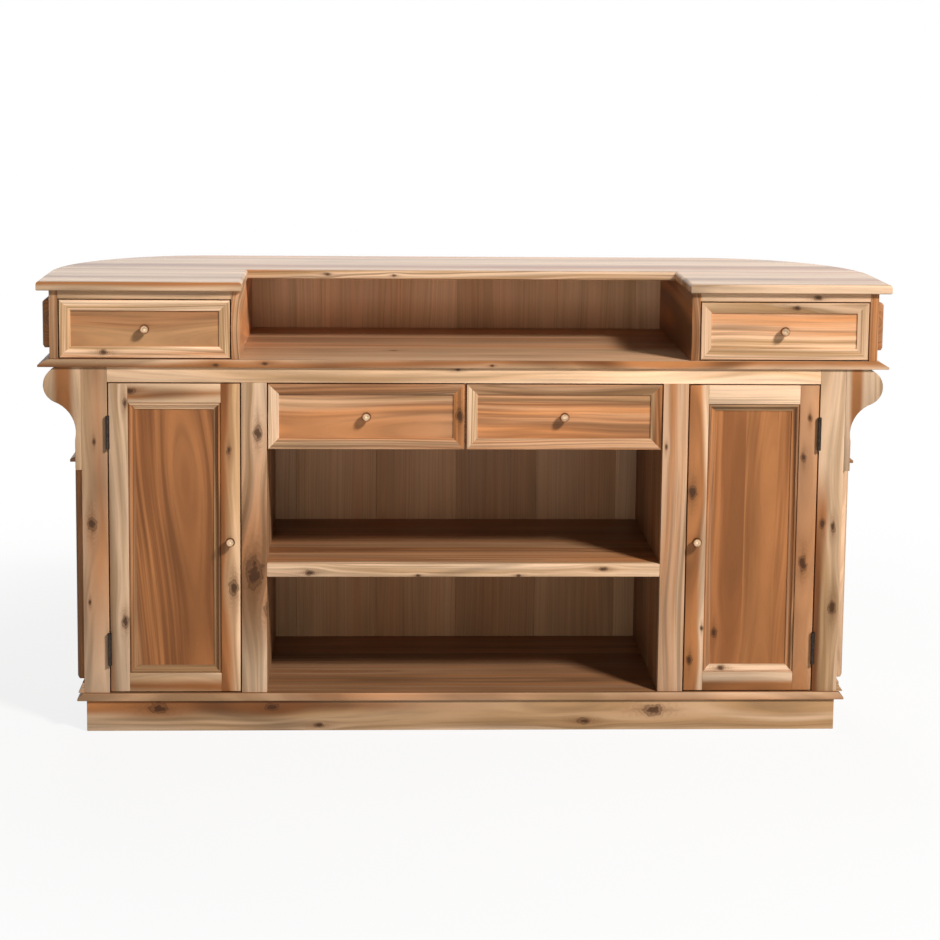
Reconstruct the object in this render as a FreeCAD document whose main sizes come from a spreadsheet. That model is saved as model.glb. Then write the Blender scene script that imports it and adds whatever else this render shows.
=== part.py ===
import FreeCAD, Part
import math
import os
import re
import Sketcher

V = FreeCAD.Vector

# Driving sizes in millimetres, read off the photograph at the scale of a two metre top.
# Names that end in _share are plain ratios, and names that end in _angle are degrees.
SIZES = {
    "half_share": 0.5,
    "knuckle_share": 0.33333333,
    "top_width": 2000,
    "top_depth": 600,
    "corner_radius": 380,
    "top_height": 1080,
    "top_thickness": 22,
    "top_round": 8,
    "top_under_round": 3,
    "slab_overhang": 12,
    "notch_corner_gap": 95,
    "notch_depth": 263,
    "upper_tier_height": 183,
    "board_thickness": 19,
    "board_overhang": 6,
    "board_nose": 5,
    "work_bevel_run": 25,
    "wall_thickness": 20,
    "upper_inset": 28,
    "lower_inset": 100,
    "base_inset": 83,
    "base_bevel_run": 14,
    "plinth_inset": 105,
    "plinth_height": 75,
    "plinth_thickness": 18,
    "bottom_thickness": 19,
    "frame_thickness": 22,
    "post_width": 60,
    "stile_width": 60,
    "bay_step": 58,
    "rail_height": 36,
    "niche_reveal": 5,
    "upper_rail_height": 20,
    "back_board_shares": 6,
    "shelf_share": 0.5305,
    "shelf_thickness": 18,
    "lipping_height": 31,
    "lipping_setback": 1,
    "cupboard_shelf_share": 0.492,
    "cupboard_shelf_setback": 30,
    "shelf_clearance": 1,
    "cleat_size": 20,
    "cleat_end_gap": 30,
    "divider_thickness": 18,
    "corbel_thickness": 48,
    "corbel_drop": 245,
    "corbel_stem": 15,
    "corbel_cove_drop": 173,
    "corbel_cove_radius": 77,
    "corbel_knee_out": 63,
    "corbel_knee_drop": 83,
    "corbel_bulge_radius": 43.5,
    "corbel_top_out": 46,
    "corbel_centre_share": 0.3226,
    "belt_drop": 235,
    "belt_tip": 34,
    "belt_nose": 6,
    "belt_lip": 8,
    "belt_height": 46,
    "belt_cove_radius": 45,
    "base_tip": 14,
    "base_nose": 3,
    "base_lip": 5,
    "base_height": 24,
    "base_cove_radius": 24,
    "raised_thickness": 20,
    "raised_edge": 15,
    "raised_bevel": 6,
    "raised_margin": 30,
    "raised_corner_margin_angle": 4,
    "raised_corner_span_angle": 82,
    "quarter_angle": 90,
    "lower_raised_lift": 26,
    "lower_raised_drop": 12,
    "upper_raised_lift": 22,
    "upper_raised_drop": 26,
    "door_gap": 3,
    "door_border": 45,
    "panel_setback": 12,
    "panel_thickness": 8,
    "panel_groove": 8,
    "panel_clearance": 1,
    "bead_width": 17,
    "bead_front": 2,
    "bead_shoulder": 4,
    "bead_round_start": 3,
    "bead_flat_end": 6,
    "bead_inner_depth": 10,
    "bead_cove_radius": 14,
    "door_knob_drop": 5,
    "knob_projection": 26,
    "knob_radius": 11,
    "knob_neck_radius": 5,
    "knob_rose_radius": 8,
    "knob_rose_thickness": 3,
    "knob_stud_radius": 2,
    "knob_stud_length": 7,
    "hinge_height": 76,
    "hinge_upper_drop": 117,
    "hinge_lower_lift": 103,
    "knuckle_radius": 4.5,
    "knuckle_clearance": 0.7,
    "knuckle_end_gap": 0.3,
    "hinge_pin_radius": 2,
    "hinge_pin_clearance": 0.05,
    "hinge_pin_head": 3,
    "leaf_thickness": 1.2,
    "leaf_start": 1,
    "leaf_depth": 17,
    "catch_width": 40,
    "catch_depth": 16,
    "catch_overlap": 18,
    "catch_clearance": 0.5,
    "catch_offset": 30,
    "drawer_gap": 3,
    "drawer_middle_gap": 6,
    "centre_drawer_height": 155,
    "drawer_border": 25,
    "drawer_front_thickness": 20,
    "drawer_arris": 4,
    "drawer_lip_depth": 8,
    "drawer_panel_depth": 11,
    "drawer_rebate": 17,
    "drawer_side_thickness": 12,
    "drawer_bottom_thickness": 6,
    "drawer_bottom_lift": 8,
    "drawer_box_inset": 14,
    "centre_box_gap": 8,
    "centre_box_rear_gap": 68,
    "upper_box_inner_gap": 8,
    "upper_box_outer_gap": 26,
    "upper_box_overrun": 77,
    "runner_height": 14,
    "runner_engage": 7,
    "runner_clearance": 0.6,
}

doc = FreeCAD.newDocument("bar_counter")
sheet = doc.addObject("Spreadsheet::Sheet", "Sizes")
for row, (alias, size) in enumerate(SIZES.items(), start=1):
    sheet.set("A%d" % row, alias)
    sheet.set("B%d" % row, str(size))
    sheet.setAlias("B%d" % row, alias)
doc.recompute()

# Reference levels and planes, each built from the driving sizes.
# FACE is the front of the face frame, BACK the far edge of the top, CX and CY the corner centre.
# NOTCH, NICHE_IN and BAY are half widths of the top's notch, the niche and the shelf bay.
HALF = "(top_width * half_share)"
FACE = "(knob_projection - (top_depth - slab_overhang + knob_projection) * half_share)"
BACK = "(%s - slab_overhang + top_depth)" % FACE
CX = "(%s - corner_radius)" % HALF
CY = "(%s - corner_radius)" % BACK
INSIDE = "(%s + frame_thickness)" % FACE
BOTTOM_TOP = "(plinth_height + bottom_thickness)"
WORK_TOP = "(top_height - upper_tier_height)"
WORK_BOTTOM = "(%s - board_thickness)" % WORK_TOP
RAIL_BOTTOM = "(%s - rail_height)" % WORK_BOTTOM
TOP_BOTTOM = "(top_height - top_thickness)"
UPPER_RAIL_BOTTOM = "(%s - upper_rail_height)" % TOP_BOTTOM
LOWER_OUT = "(%s - lower_inset)" % HALF
LOWER_IN = "(%s - wall_thickness)" % LOWER_OUT
LOWER_BACK_OUT = "(%s - lower_inset)" % BACK
LOWER_BACK_IN = "(%s - wall_thickness)" % LOWER_BACK_OUT
LOWER_RADIUS = "(corner_radius - lower_inset)"
UPPER_OUT = "(%s - upper_inset)" % HALF
UPPER_IN = "(%s - wall_thickness)" % UPPER_OUT
UPPER_BACK_OUT = "(%s - upper_inset)" % BACK
UPPER_BACK_IN = "(%s - wall_thickness)" % UPPER_BACK_OUT
UPPER_RADIUS = "(corner_radius - upper_inset)"
POST_IN = "(%s - post_width)" % LOWER_OUT
NOTCH = "(%s - notch_corner_gap)" % CX
NICHE_IN = "(%s + niche_reveal)" % NOTCH
NICHE_OUT = "(%s + wall_thickness)" % NICHE_IN
BAY = "(%s - bay_step)" % NOTCH
STILE_OUT = "(%s + stile_width)" % BAY
PARTITION_OUT = "(%s + wall_thickness)" % BAY
DRAWER_LOW = "(%s - drawer_gap - centre_drawer_height)" % RAIL_BOTTOM
SHELF_TOP = "(%s + (%s - %s) * shelf_share)" % (BOTTOM_TOP, DRAWER_LOW, BOTTOM_TOP)
CUPBOARD_SHELF = "(%s + (%s - %s) * cupboard_shelf_share)" % (BOTTOM_TOP, RAIL_BOTTOM, BOTTOM_TOP)
BELT_BOTTOM = "(%s - belt_drop)" % WORK_BOTTOM
CORBEL_X = "(%s * corbel_centre_share)" % CX
DOOR_LOW = "(%s + door_gap)" % BOTTOM_TOP
DOOR_HIGH = "(%s - door_gap)" % RAIL_BOTTOM
DOOR_KNOB = "((%s + %s) * half_share - door_knob_drop)" % (DOOR_LOW, DOOR_HIGH)
HINGE_UPPER = "(%s - hinge_upper_drop)" % DOOR_HIGH
HINGE_LOWER = "(%s + hinge_lower_lift)" % DOOR_LOW
RAISED_LEVELS = {
    "lower": (BOTTOM_TOP + " + lower_raised_lift", BELT_BOTTOM + " - lower_raised_drop"),
    "upper": (WORK_TOP + " + upper_raised_lift", TOP_BOTTOM + " - upper_raised_drop"),
}
PLINTH_OUT = "(%s - plinth_inset)" % HALF
PLINTH_BACK = "(%s - plinth_inset - plinth_thickness)" % BACK
PIN_X = "(%s - door_gap * half_share)" % POST_IN
PIN_Y = "(%s - knuckle_radius - knuckle_clearance)" % FACE


def sized(text):
    """The expression with every size name pointed at its sheet cell."""
    return re.sub(r"[a-z][a-z_]*", lambda m: "Sizes." + m[0] if m[0] in SIZES else m[0], text)


def number(text):
    return float(sheet.evalExpression(sized(text)))


def bind(obj, prop, text):
    obj.setExpression(prop, sized(text))


def place(obj, x, y, z, turn="0"):
    """Puts an object at x, y, z, turned about the vertical."""
    obj.Placement = FreeCAD.Placement(V(0, 0, 0), FreeCAD.Rotation(V(0, 0, 1), number(turn)))
    bind(obj, "Placement.Base.x", x)
    bind(obj, "Placement.Base.y", y)
    bind(obj, "Placement.Base.z", z)
    return obj


def new(kind, label):
    obj = doc.addObject(kind, label)
    obj.Label = label
    return obj


def board(label, x0, x1, y0, y1, z0, z1):
    """A sawn board between two corners."""
    obj = new("Part::Box", label)
    bind(obj, "Length", "%s - (%s)" % (x1, x0))
    bind(obj, "Width", "%s - (%s)" % (y1, y0))
    bind(obj, "Height", "%s - (%s)" % (z1, z0))
    return place(obj, x0, y0, z0)


def cylinder(label, radius, height, x, y, z):
    obj = new("Part::Cylinder", label)
    bind(obj, "Radius", radius)
    bind(obj, "Height", height)
    return place(obj, x, y, z)


def cut(label, base, tool):
    obj = new("Part::Cut", label)
    obj.Base = base
    obj.Tool = tool
    return obj


def fuse(label, shapes):
    obj = new("Part::MultiFuse", label)
    obj.Shapes = shapes
    return obj


def group(label, members):
    obj = new("Part::Compound", label)
    obj.Links = members
    return obj


def mirror(label, source, normal=V(1, 0, 0), x="0", z="0"):
    obj = new("Part::Mirroring", label)
    obj.Source = source
    obj.Normal = normal
    bind(obj, "Base.x", x)
    bind(obj, "Base.z", z)
    return obj


def both(label, right):
    """A piece and its mirror image on the other side of the counter."""
    return group(label, [right, mirror(label + "_left", right)])


def arc_middle(start, end, radius, side):
    """Centre of the short arc; side is 1 for a centre to the left of the way taken."""
    half = (end - start) * 0.5
    reach = math.sqrt(max(radius * radius - half.Length * half.Length, 0))
    across = V(-half.y, half.x, 0)
    across.normalize()
    return start + half + across * reach * side


def draw_edge(sketch, start, end, step):
    """Adds one edge of an outline and returns which of its ends comes first."""
    if len(step) == 2:
        sketch.addGeometry(Part.LineSegment(start, end), False)
        return 1
    radius, side = number(step[2]), step[3]
    middle = arc_middle(start, end, radius, side)
    first, last = (start, end) if side > 0 else (end, start)
    from_angle = math.atan2(first.y - middle.y, first.x - middle.x)
    to_angle = math.atan2(last.y - middle.y, last.x - middle.x)
    circle = Part.Circle(middle, V(0, 0, 1), radius)
    sketch.addGeometry(Part.ArcOfCircle(circle, from_angle, to_angle), False)
    return 1 if side > 0 else 2


def sketch_on(body, plane, steps, name, lift=None):
    """A closed outline on one of the body's planes, every corner and radius bound to the sheet.
    A step is a corner, or a corner with the radius and side of the arc that leads to it."""
    sketch = body.newObject("Sketcher::SketchObject", name)
    origin = [f for f in body.Origin.OriginFeatures if f.Role == plane][0]
    sketch.AttachmentSupport = [(origin, "")]
    sketch.MapMode = "FlatFace"
    if lift:
        bind(sketch, "AttachmentOffset.Base.z", lift)
    corners = [V(number(step[0]), number(step[1]), 0) for step in steps]
    count = len(steps)
    firsts = []
    for index, step in enumerate(steps):
        firsts.append(draw_edge(sketch, corners[index - 1], corners[index], step))
    rules = []
    bound = []
    for index, step in enumerate(steps):
        after = (index + 1) % count
        rules.append(Sketcher.Constraint("Coincident", index, 3 - firsts[index], after, firsts[after]))
    for index, step in enumerate(steps):
        end = 3 - firsts[index]
        rules.append(Sketcher.Constraint("DistanceX", -1, 1, index, end, corners[index].x))
        bound.append((len(rules) - 1, step[0]))
        rules.append(Sketcher.Constraint("DistanceY", -1, 1, index, end, corners[index].y))
        bound.append((len(rules) - 1, step[1]))
        if len(step) > 2:
            rules.append(Sketcher.Constraint("Radius", index, number(step[2])))
            bound.append((len(rules) - 1, step[2]))
    sketch.addConstraint(rules)
    for index, text in bound:
        bind(sketch, "Constraints[%d]" % index, text)
    return sketch


def padded(label, plane, steps, length, middle=False):
    """A body padded from one outline; on the XZ plane the pad runs backwards."""
    body = new("PartDesign::Body", label)
    sketch = sketch_on(body, plane, steps, label + "_outline")
    pad = body.newObject("PartDesign::Pad", label + "_pad")
    pad.Profile = sketch
    bind(pad, "Length", length)
    pad.Midplane = middle
    pad.Reversed = plane == "XZ_Plane"
    return body


def bevelled(label, plane, outer, inner, edge, thickness):
    """A body with a square edge that slopes from the outer outline to the inner one."""
    body = padded(label, plane, outer, edge)
    low = sketch_on(body, plane, outer, label + "_low", edge)
    high = sketch_on(body, plane, inner, label + "_high", thickness)
    loft = body.newObject("PartDesign::AdditiveLoft", label + "_slope")
    loft.Profile = low
    loft.Sections = [high]
    loft.Ruled = True
    return body


def turned(label, steps, angle):
    """A body turned about its vertical axis from a radius and height outline."""
    body = new("PartDesign::Body", label)
    sketch = sketch_on(body, "XZ_Plane", steps, label + "_outline")
    turn = body.newObject("PartDesign::Revolution", label + "_turn")
    turn.Profile = sketch
    turn.ReferenceAxis = (sketch, ["V_Axis"])
    bind(turn, "Angle", angle)
    return body


def d_outline(inset, front):
    """The counter's plan: straight front, short straight sides, round far corners."""
    wide = "(%s - (%s))" % (HALF, inset)
    back = "(%s - (%s))" % (BACK, inset)
    radius = "(corner_radius - (%s))" % inset
    return [
        ("-" + wide, front),
        (wide, front),
        (wide, CY),
        (CX, back, radius, 1),
        ("-" + CX, back),
        ("-" + wide, CY, radius, 1),
    ]


def quarter_ring(outer, inner):
    """Plan of a quarter-round wall about its corner centre."""
    return [("0", inner), (inner, "0", inner, -1), (outer, "0"), ("0", outer, outer, 1)]


def rectangle(x0, x1, y0, y1):
    return [(x0, y0), (x1, y0), (x1, y1), (x0, y1)]


def shrunk(x0, x1, y0, y1, by):
    return rectangle(
        "%s + %s" % (x0, by), "%s - (%s)" % (x1, by), "%s + %s" % (y0, by), "%s - (%s)" % (y1, by)
    )


def curved_wall(label, radius, z0, z1):
    outline = quarter_ring(radius, "(%s - wall_thickness)" % radius)
    wall = padded(label + "_right", "XY_Plane", outline, "%s - (%s)" % (z1, z0))
    return both(label, place(wall, CX, CY, z0))


def back_boards(label, y0, y1, z0, z1):
    """Vertical boards that close the flat of the customer's side."""
    boards = []
    for index in range(int(SIZES["back_board_shares"])):
        wide = "%s / half_share / back_board_shares" % CX
        x0 = "(%s * %d - %s)" % (wide, index, CX)
        x1 = "(%s + %s)" % (x0, wide)
        boards.append(board("%s_%d" % (label, index), x0, x1, y0, y1, z0, z1))
    return group(label, boards)


def plinth():
    front = board("plinth_front", "-" + PLINTH_OUT, PLINTH_OUT, FACE, INSIDE, "0", "plinth_height")
    inner = "(%s - plinth_thickness)" % PLINTH_OUT
    side = board("plinth_side", inner, PLINTH_OUT, INSIDE, CY, "0", "plinth_height")
    radius = "(corner_radius - plinth_inset)"
    ring = quarter_ring(radius, "(%s - plinth_thickness)" % radius)
    corner = place(padded("plinth_corner", "XY_Plane", ring, "plinth_height"), CX, CY, "0")
    rear = board(
        "plinth_rear", "-" + CX, CX, PLINTH_BACK, PLINTH_BACK + " + plinth_thickness", "0", "plinth_height"
    )
    halves = [side, mirror("plinth_side_left", side), corner, mirror("plinth_corner_left", corner)]
    skirt = group("plinth_skirt", halves + [rear])
    bearer = board(
        "plinth_bearer", BAY, PARTITION_OUT, INSIDE, PLINTH_BACK, "0", "plinth_height"
    )
    thick = "(wall_thickness * half_share)"
    middle = board("plinth_middle_bearer", "-" + thick, thick, INSIDE, PLINTH_BACK, "0", "plinth_height")
    bearers = group("plinth_bearers", [bearer, mirror("plinth_bearer_left", bearer), middle])
    return [front, skirt, bearers]


def d_board(label, inset, run, thickness, z0):
    front = "(%s - board_overhang)" % FACE
    outer = d_outline(inset, front)
    inner = d_outline("%s + %s" % (inset, run), front)
    body = bevelled(label, "XY_Plane", outer, inner, "board_nose", thickness)
    return place(body, "0", "0", z0)


def counter_top():
    """The bar top, notched on the bartender's side, with a rounded edge all round."""
    front = "(%s - slab_overhang)" % FACE
    rear = "(%s + notch_depth)" % front
    outline = d_outline("0", front)
    notch = [
        ("-" + NOTCH, front),
        ("-" + NOTCH, rear),
        (NOTCH, rear),
        (NOTCH, front),
    ]
    steps = outline[:1] + notch + outline[1:]
    body = padded("counter_top", "XY_Plane", steps, "top_thickness")
    doc.recompute()
    level = number("top_thickness")
    for name, height, radius in (("over", level, "top_round"), ("under", 0, "top_under_round")):
        tip = body.Tip
        edges = [
            "Edge%d" % (index + 1)
            for index, edge in enumerate(tip.Shape.Edges)
            if abs(edge.BoundBox.ZMin - height) + abs(edge.BoundBox.ZMax - height) < level * 0.001
        ]
        rounding = body.newObject("PartDesign::Fillet", "counter_top_" + name)
        rounding.Base = (tip, edges)
        bind(rounding, "Radius", radius)
        doc.recompute()
    return place(body, "0", "0", TOP_BOTTOM)


def front_frame():
    post = board("corner_post", POST_IN, LOWER_OUT, FACE, INSIDE, BOTTOM_TOP, WORK_BOTTOM)
    stile = board("inner_stile", BAY, STILE_OUT, FACE, INSIDE, BOTTOM_TOP, RAIL_BOTTOM)
    left = [mirror("corner_post_left", post), mirror("inner_stile_left", stile)]
    stiles = group("front_stiles", [post, stile] + left)
    rail = board("front_top_rail", "-" + POST_IN, POST_IN, FACE, INSIDE, RAIL_BOTTOM, WORK_BOTTOM)
    return [stiles, rail]


def lower_tier():
    side = board("lower_side_wall", LOWER_IN, LOWER_OUT, INSIDE, CY, BOTTOM_TOP, WORK_BOTTOM)
    walls = both("lower_side_walls", side)
    corners = curved_wall("lower_corner_walls", LOWER_RADIUS, BOTTOM_TOP, WORK_BOTTOM)
    boards = back_boards("lower_back_boards", LOWER_BACK_IN, LOWER_BACK_OUT, BOTTOM_TOP, WORK_BOTTOM)
    partition = board(
        "partition", BAY, PARTITION_OUT, INSIDE, LOWER_BACK_IN, BOTTOM_TOP, WORK_BOTTOM
    )
    thick = "(divider_thickness * half_share)"
    divider = board("drawer_divider", "-" + thick, thick, INSIDE, LOWER_BACK_IN, DRAWER_LOW, WORK_BOTTOM)
    return [walls, corners, boards, both("partitions", partition), divider]


def shelves():
    face = "(%s + lipping_setback)" % FACE
    join = "(%s + frame_thickness)" % face
    low = "(%s - shelf_thickness)" % SHELF_TOP
    panel = board("shelf_panel", "-" + BAY, BAY, join, LOWER_BACK_IN, low, SHELF_TOP)
    under = "(%s - lipping_height)" % SHELF_TOP
    lipping = board("shelf_lipping", "-" + BAY, BAY, face, join, under, SHELF_TOP)
    middle = group("middle_shelf", [panel, lipping])
    x0 = "(%s + shelf_clearance)" % PARTITION_OUT
    x1 = "(%s - shelf_clearance)" % LOWER_IN
    y0 = "(%s + cupboard_shelf_setback)" % INSIDE
    y1 = "(%s - shelf_clearance)" % LOWER_BACK_IN
    radius = "(%s - wall_thickness - shelf_clearance)" % LOWER_RADIUS
    outline = [(x0, y0), (x1, y0), (x1, CY), (CX, y1, radius, 1), (x0, y1)]
    shelf = padded("cupboard_shelf", "XY_Plane", outline, "shelf_thickness")
    place(shelf, "0", "0", CUPBOARD_SHELF + " - shelf_thickness")
    return [middle, both("cupboard_shelves", shelf), shelf_cleats()]


def shelf_cleats():
    """Bearers screwed to the walls under each shelf."""
    low = "(%s - shelf_thickness)" % SHELF_TOP
    y1 = "(%s - cleat_end_gap)" % LOWER_BACK_IN
    y0 = "(%s + frame_thickness + cleat_end_gap)" % FACE
    bay = board("bay_cleat", BAY + " - cleat_size", BAY, y0, y1, low + " - cleat_size", low)
    high = "(%s - shelf_thickness)" % CUPBOARD_SHELF
    y2 = "(%s + cupboard_shelf_setback + cleat_end_gap)" % INSIDE
    inner = board(
        "inner_cleat", PARTITION_OUT, PARTITION_OUT + " + cleat_size", y2, y1, high + " - cleat_size", high
    )
    outer = board("outer_cleat", LOWER_IN + " - cleat_size", LOWER_IN, y2, CY, high + " - cleat_size", high)
    right = [bay, inner, outer]
    return group("shelf_cleats", right + [mirror(piece.Label + "_left", piece) for piece in right])


def upper_tier():
    side = board("upper_side_wall", UPPER_IN, UPPER_OUT, FACE, CY, WORK_TOP, TOP_BOTTOM)
    walls = both("upper_side_walls", side)
    corners = curved_wall("upper_corner_walls", UPPER_RADIUS, WORK_TOP, TOP_BOTTOM)
    boards = back_boards("upper_back_boards", UPPER_BACK_IN, UPPER_BACK_OUT, WORK_TOP, TOP_BOTTOM)
    niche = board("niche_wall", NICHE_IN, NICHE_OUT, FACE, UPPER_BACK_IN, WORK_TOP, TOP_BOTTOM)
    rail = board("upper_rail", NICHE_OUT, UPPER_IN, FACE, INSIDE, UPPER_RAIL_BOTTOM, TOP_BOTTOM)
    return [walls, corners, boards, both("niche_walls", niche), both("upper_rails", rail)]


def corbel(label, x, y, turn):
    """A sawn bracket: flat top, round bulge, long cove and a straight stem."""
    top = WORK_BOTTOM
    steps = [
        ("0", top),
        ("0", top + " - corbel_drop"),
        ("corbel_stem", top + " - corbel_drop"),
        ("corbel_stem", top + " - corbel_cove_drop"),
        ("corbel_knee_out", top + " - corbel_knee_drop", "corbel_cove_radius", -1),
        ("corbel_top_out", top, "corbel_bulge_radius", 1),
    ]
    return place(padded(label, "XZ_Plane", steps, "corbel_thickness"), x, y, "0", turn)


def corbels():
    turn = "quarter_angle"
    front = corbel("corbel_front", LOWER_OUT, FACE, "0")
    side = corbel("corbel_side", LOWER_OUT, CY + " - corbel_thickness", "0")
    end = corbel("corbel_end", CX, LOWER_BACK_OUT, turn)
    x1 = CORBEL_X + " + corbel_thickness * half_share"
    centre = corbel("corbel_centre", x1, LOWER_BACK_OUT, turn)
    right = [front, side, end, centre]
    return group("corbels", right + [mirror(piece.Label + "_left", piece) for piece in right])


def cove_steps(kind, out, low):
    """Section of a cove moulding that stands out from a wall."""
    tip = "%s + %s_tip" % (out, kind)
    return [
        (out, low),
        (tip, low),
        (tip, "%s + %s_nose" % (low, kind)),
        ("%s + %s_lip" % (out, kind), "%s + %s_height" % (low, kind), kind + "_cove_radius", -1),
        (out, "%s + %s_height" % (low, kind)),
    ]


def straight_cove(label, kind, low, x, y, length, turn):
    return place(padded(label, "XZ_Plane", cove_steps(kind, "0", low), length), x, y, "0", turn)


def corner_cove(label, kind, low):
    body = turned(label, cove_steps(kind, LOWER_RADIUS, low), "quarter_angle")
    return place(body, CX, CY, "0")


def back_gaps():
    """Left and right ends of the back's spaces between the corbels, right of centre first."""
    half = "corbel_thickness * half_share"
    return [
        (CORBEL_X + " + " + half, CX + " - corbel_thickness"),
        ("-" + CORBEL_X + " + " + half, CORBEL_X + " - " + half),
    ]


def wall_mouldings():
    turn = "quarter_angle"
    side_y = FACE + " + corbel_thickness"
    side_run = "%s - corbel_thickness - (%s)" % (CY, side_y)
    pieces = [
        straight_cove("belt_side", "belt", BELT_BOTTOM, LOWER_OUT, side_y, side_run, "0"),
        corner_cove("belt_corner", "belt", BELT_BOTTOM),
        straight_cove("base_side", "base", BOTTOM_TOP, LOWER_OUT, FACE, "%s - (%s)" % (CY, FACE), "0"),
        corner_cove("base_corner", "base", BOTTOM_TOP),
    ]
    (x0, x1), (x2, x3) = back_gaps()
    run = "%s - (%s)" % (x1, x0)
    pieces.append(straight_cove("belt_back", "belt", BELT_BOTTOM, x1, LOWER_BACK_OUT, run, turn))
    middle_run = "%s - (%s)" % (x3, x2)
    middle = [
        straight_cove("belt_middle", "belt", BELT_BOTTOM, x3, LOWER_BACK_OUT, middle_run, turn),
        straight_cove("base_back", "base", BOTTOM_TOP, CX, LOWER_BACK_OUT, "%s + %s" % (CX, CX), turn),
    ]
    left = [mirror(piece.Label + "_left", piece) for piece in pieces]
    return group("wall_mouldings", pieces + left + middle)


def raised_flat(label, y0, y1, z0, z1, x, y, turn):
    """A panel with a bevel on all four sides, its back against the wall."""
    outer = rectangle(y0, y1, z0, z1)
    inner = shrunk(y0, y1, z0, z1, "raised_bevel")
    body = bevelled(label, "YZ_Plane", outer, inner, "raised_edge", "raised_thickness")
    return place(body, x, y, "0", turn)


def raised_corner(label, radius, z0, z1):
    out = "%s + raised_thickness" % radius
    edge = "%s + raised_edge" % radius
    steps = [
        (radius, z0),
        (edge, z0),
        (out, z0 + " + raised_bevel"),
        (out, z1 + " - raised_bevel"),
        (edge, z1),
        (radius, z1),
    ]
    body = turned(label, steps, "raised_corner_span_angle")
    return place(body, CX, CY, "0", "raised_corner_margin_angle")


def raised_panels(tier, wall, back, radius):
    label = tier + "_raised"
    z0, z1 = RAISED_LEVELS[tier]
    turn = "quarter_angle"
    side_run = "%s - (%s) - raised_margin" % (CY, FACE)
    right = [
        raised_flat(label + "_side", "raised_margin", side_run, z0, z1, wall, FACE, "0"),
        raised_corner(label + "_corner", radius, z0, z1),
    ]
    (x0, x1), (x2, x3) = back_gaps()
    run = "%s - (%s)" % (x1, x0)
    right.append(raised_flat(label + "_back", "0", run, z0, z1, x1, back, turn))
    run = "%s - (%s)" % (x3, x2)
    middle = raised_flat(label + "_middle", "0", run, z0, z1, x3, back, turn)
    left = [mirror(piece.Label + "_left", piece) for piece in right]
    return group(label + "_panels", right + left + [middle])


def mitred_frame(label, profile, border, half_width, half_height, x, z, depth):
    """Four bars of one section, mitred at the corners. The section runs inwards from the outer
    edge and backwards from the face."""
    across = [(step[1], "%s - (%s)" % (half_height, step[0])) + step[2:] for step in profile]
    upright = [("-%s + %s" % (half_width, step[0]), step[1]) + step[2:] for step in profile]
    near_x, near_z = "(%s - %s)" % (half_width, border), "(%s - %s)" % (half_height, border)
    flat_mitre = [
        ("-" + half_width, half_height),
        (half_width, half_height),
        (near_x, near_z),
        ("-" + near_x, near_z),
    ]
    tall_mitre = [
        ("-" + half_width, "-" + half_height),
        ("-" + half_width, half_height),
        ("-" + near_x, near_z),
        ("-" + near_x, "-" + near_z),
    ]
    bars = []
    for name, plane, steps, length, mitre in (
        ("top", "YZ_Plane", across, half_width, flat_mitre),
        ("side", "XY_Plane", upright, half_height, tall_mitre),
    ):
        bar = padded("%s_%s_bar" % (label, name), plane, steps, "%s / half_share" % length, True)
        wedge = padded("%s_%s_mitre" % (label, name), "XZ_Plane", mitre, depth)
        common = new("Part::Common", "%s_%s" % (label, name))
        common.Base = bar
        common.Tool = wedge
        bars.append(place(common, x, FACE, z))
    below = mirror(label + "_bottom", bars[0], V(0, 0, 1), "0", z)
    other = mirror(label + "_other_side", bars[1], V(1, 0, 0), x, "0")
    return group(label, bars + [below, other])


def knob(label, x, y, z):
    """A ball on a short neck and a rose, with its stud in the wood behind."""
    centre = "(knob_projection - knob_radius)"
    meet = "(%s - sqrt(knob_radius * knob_radius - knob_neck_radius * knob_neck_radius))" % centre
    steps = [
        ("0", "-knob_stud_length"),
        ("knob_stud_radius", "-knob_stud_length"),
        ("knob_stud_radius", "0"),
        ("knob_rose_radius", "0"),
        ("knob_rose_radius", "knob_rose_thickness"),
        ("knob_neck_radius", "knob_rose_thickness"),
        ("knob_neck_radius", meet),
        ("knob_radius", centre, "knob_radius", 1),
        ("0", "knob_projection", "knob_radius", 1),
    ]
    body = turned(label, steps, "quarter_angle / half_share / half_share")
    place(body, x, y, z)
    body.Placement.Rotation = FreeCAD.Rotation(V(1, 0, 0), number("quarter_angle"))
    return body


def stud_hole(label, x, y, z):
    hole = cylinder(label, "knob_stud_radius", "knob_stud_length", x, y, z)
    hole.Placement.Rotation = FreeCAD.Rotation(V(1, 0, 0), -number("quarter_angle"))
    return hole


def door_frame(x0, x1, z0, z1, slot):
    """Stiles the full height with the rails between them, all grooved for the panel."""
    back = "(%s + frame_thickness)" % FACE
    inner0, inner1 = x0 + " + door_border", x1 + " - door_border"
    knob_side = board("door_knob_stile", x0, inner0, FACE, back, z0, z1)
    hinge_side = board("door_hinge_stile", inner1, x1, FACE, back, z0, z1)
    top = board("door_top_rail", inner0, inner1, FACE, back, z1 + " - door_border", z1)
    low = board("door_bottom_rail", inner0, inner1, FACE, back, z0, z0 + " + door_border")
    hole = stud_hole("door_knob_hole", x0 + " + door_border * half_share", FACE, DOOR_KNOB)
    pieces = [cut(piece.Label + "_grooved", piece, slot) for piece in (knob_side, hinge_side, top, low)]
    pieces[0] = cut("door_knob_stile_bored", pieces[0], hole)
    return group("right_door_frame", pieces)


def door_panel_box(label, x0, x1, z0, z1, reach):
    """The space the panel takes up, reaching into the grooves by the length given."""
    y0 = FACE + " + panel_setback"
    return board(
        label,
        "%s + door_border - (%s)" % (x0, reach),
        "%s - door_border + %s" % (x1, reach),
        y0,
        y0 + " + panel_thickness",
        "%s + door_border - (%s)" % (z0, reach),
        "%s - door_border + %s" % (z1, reach),
    )


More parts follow.
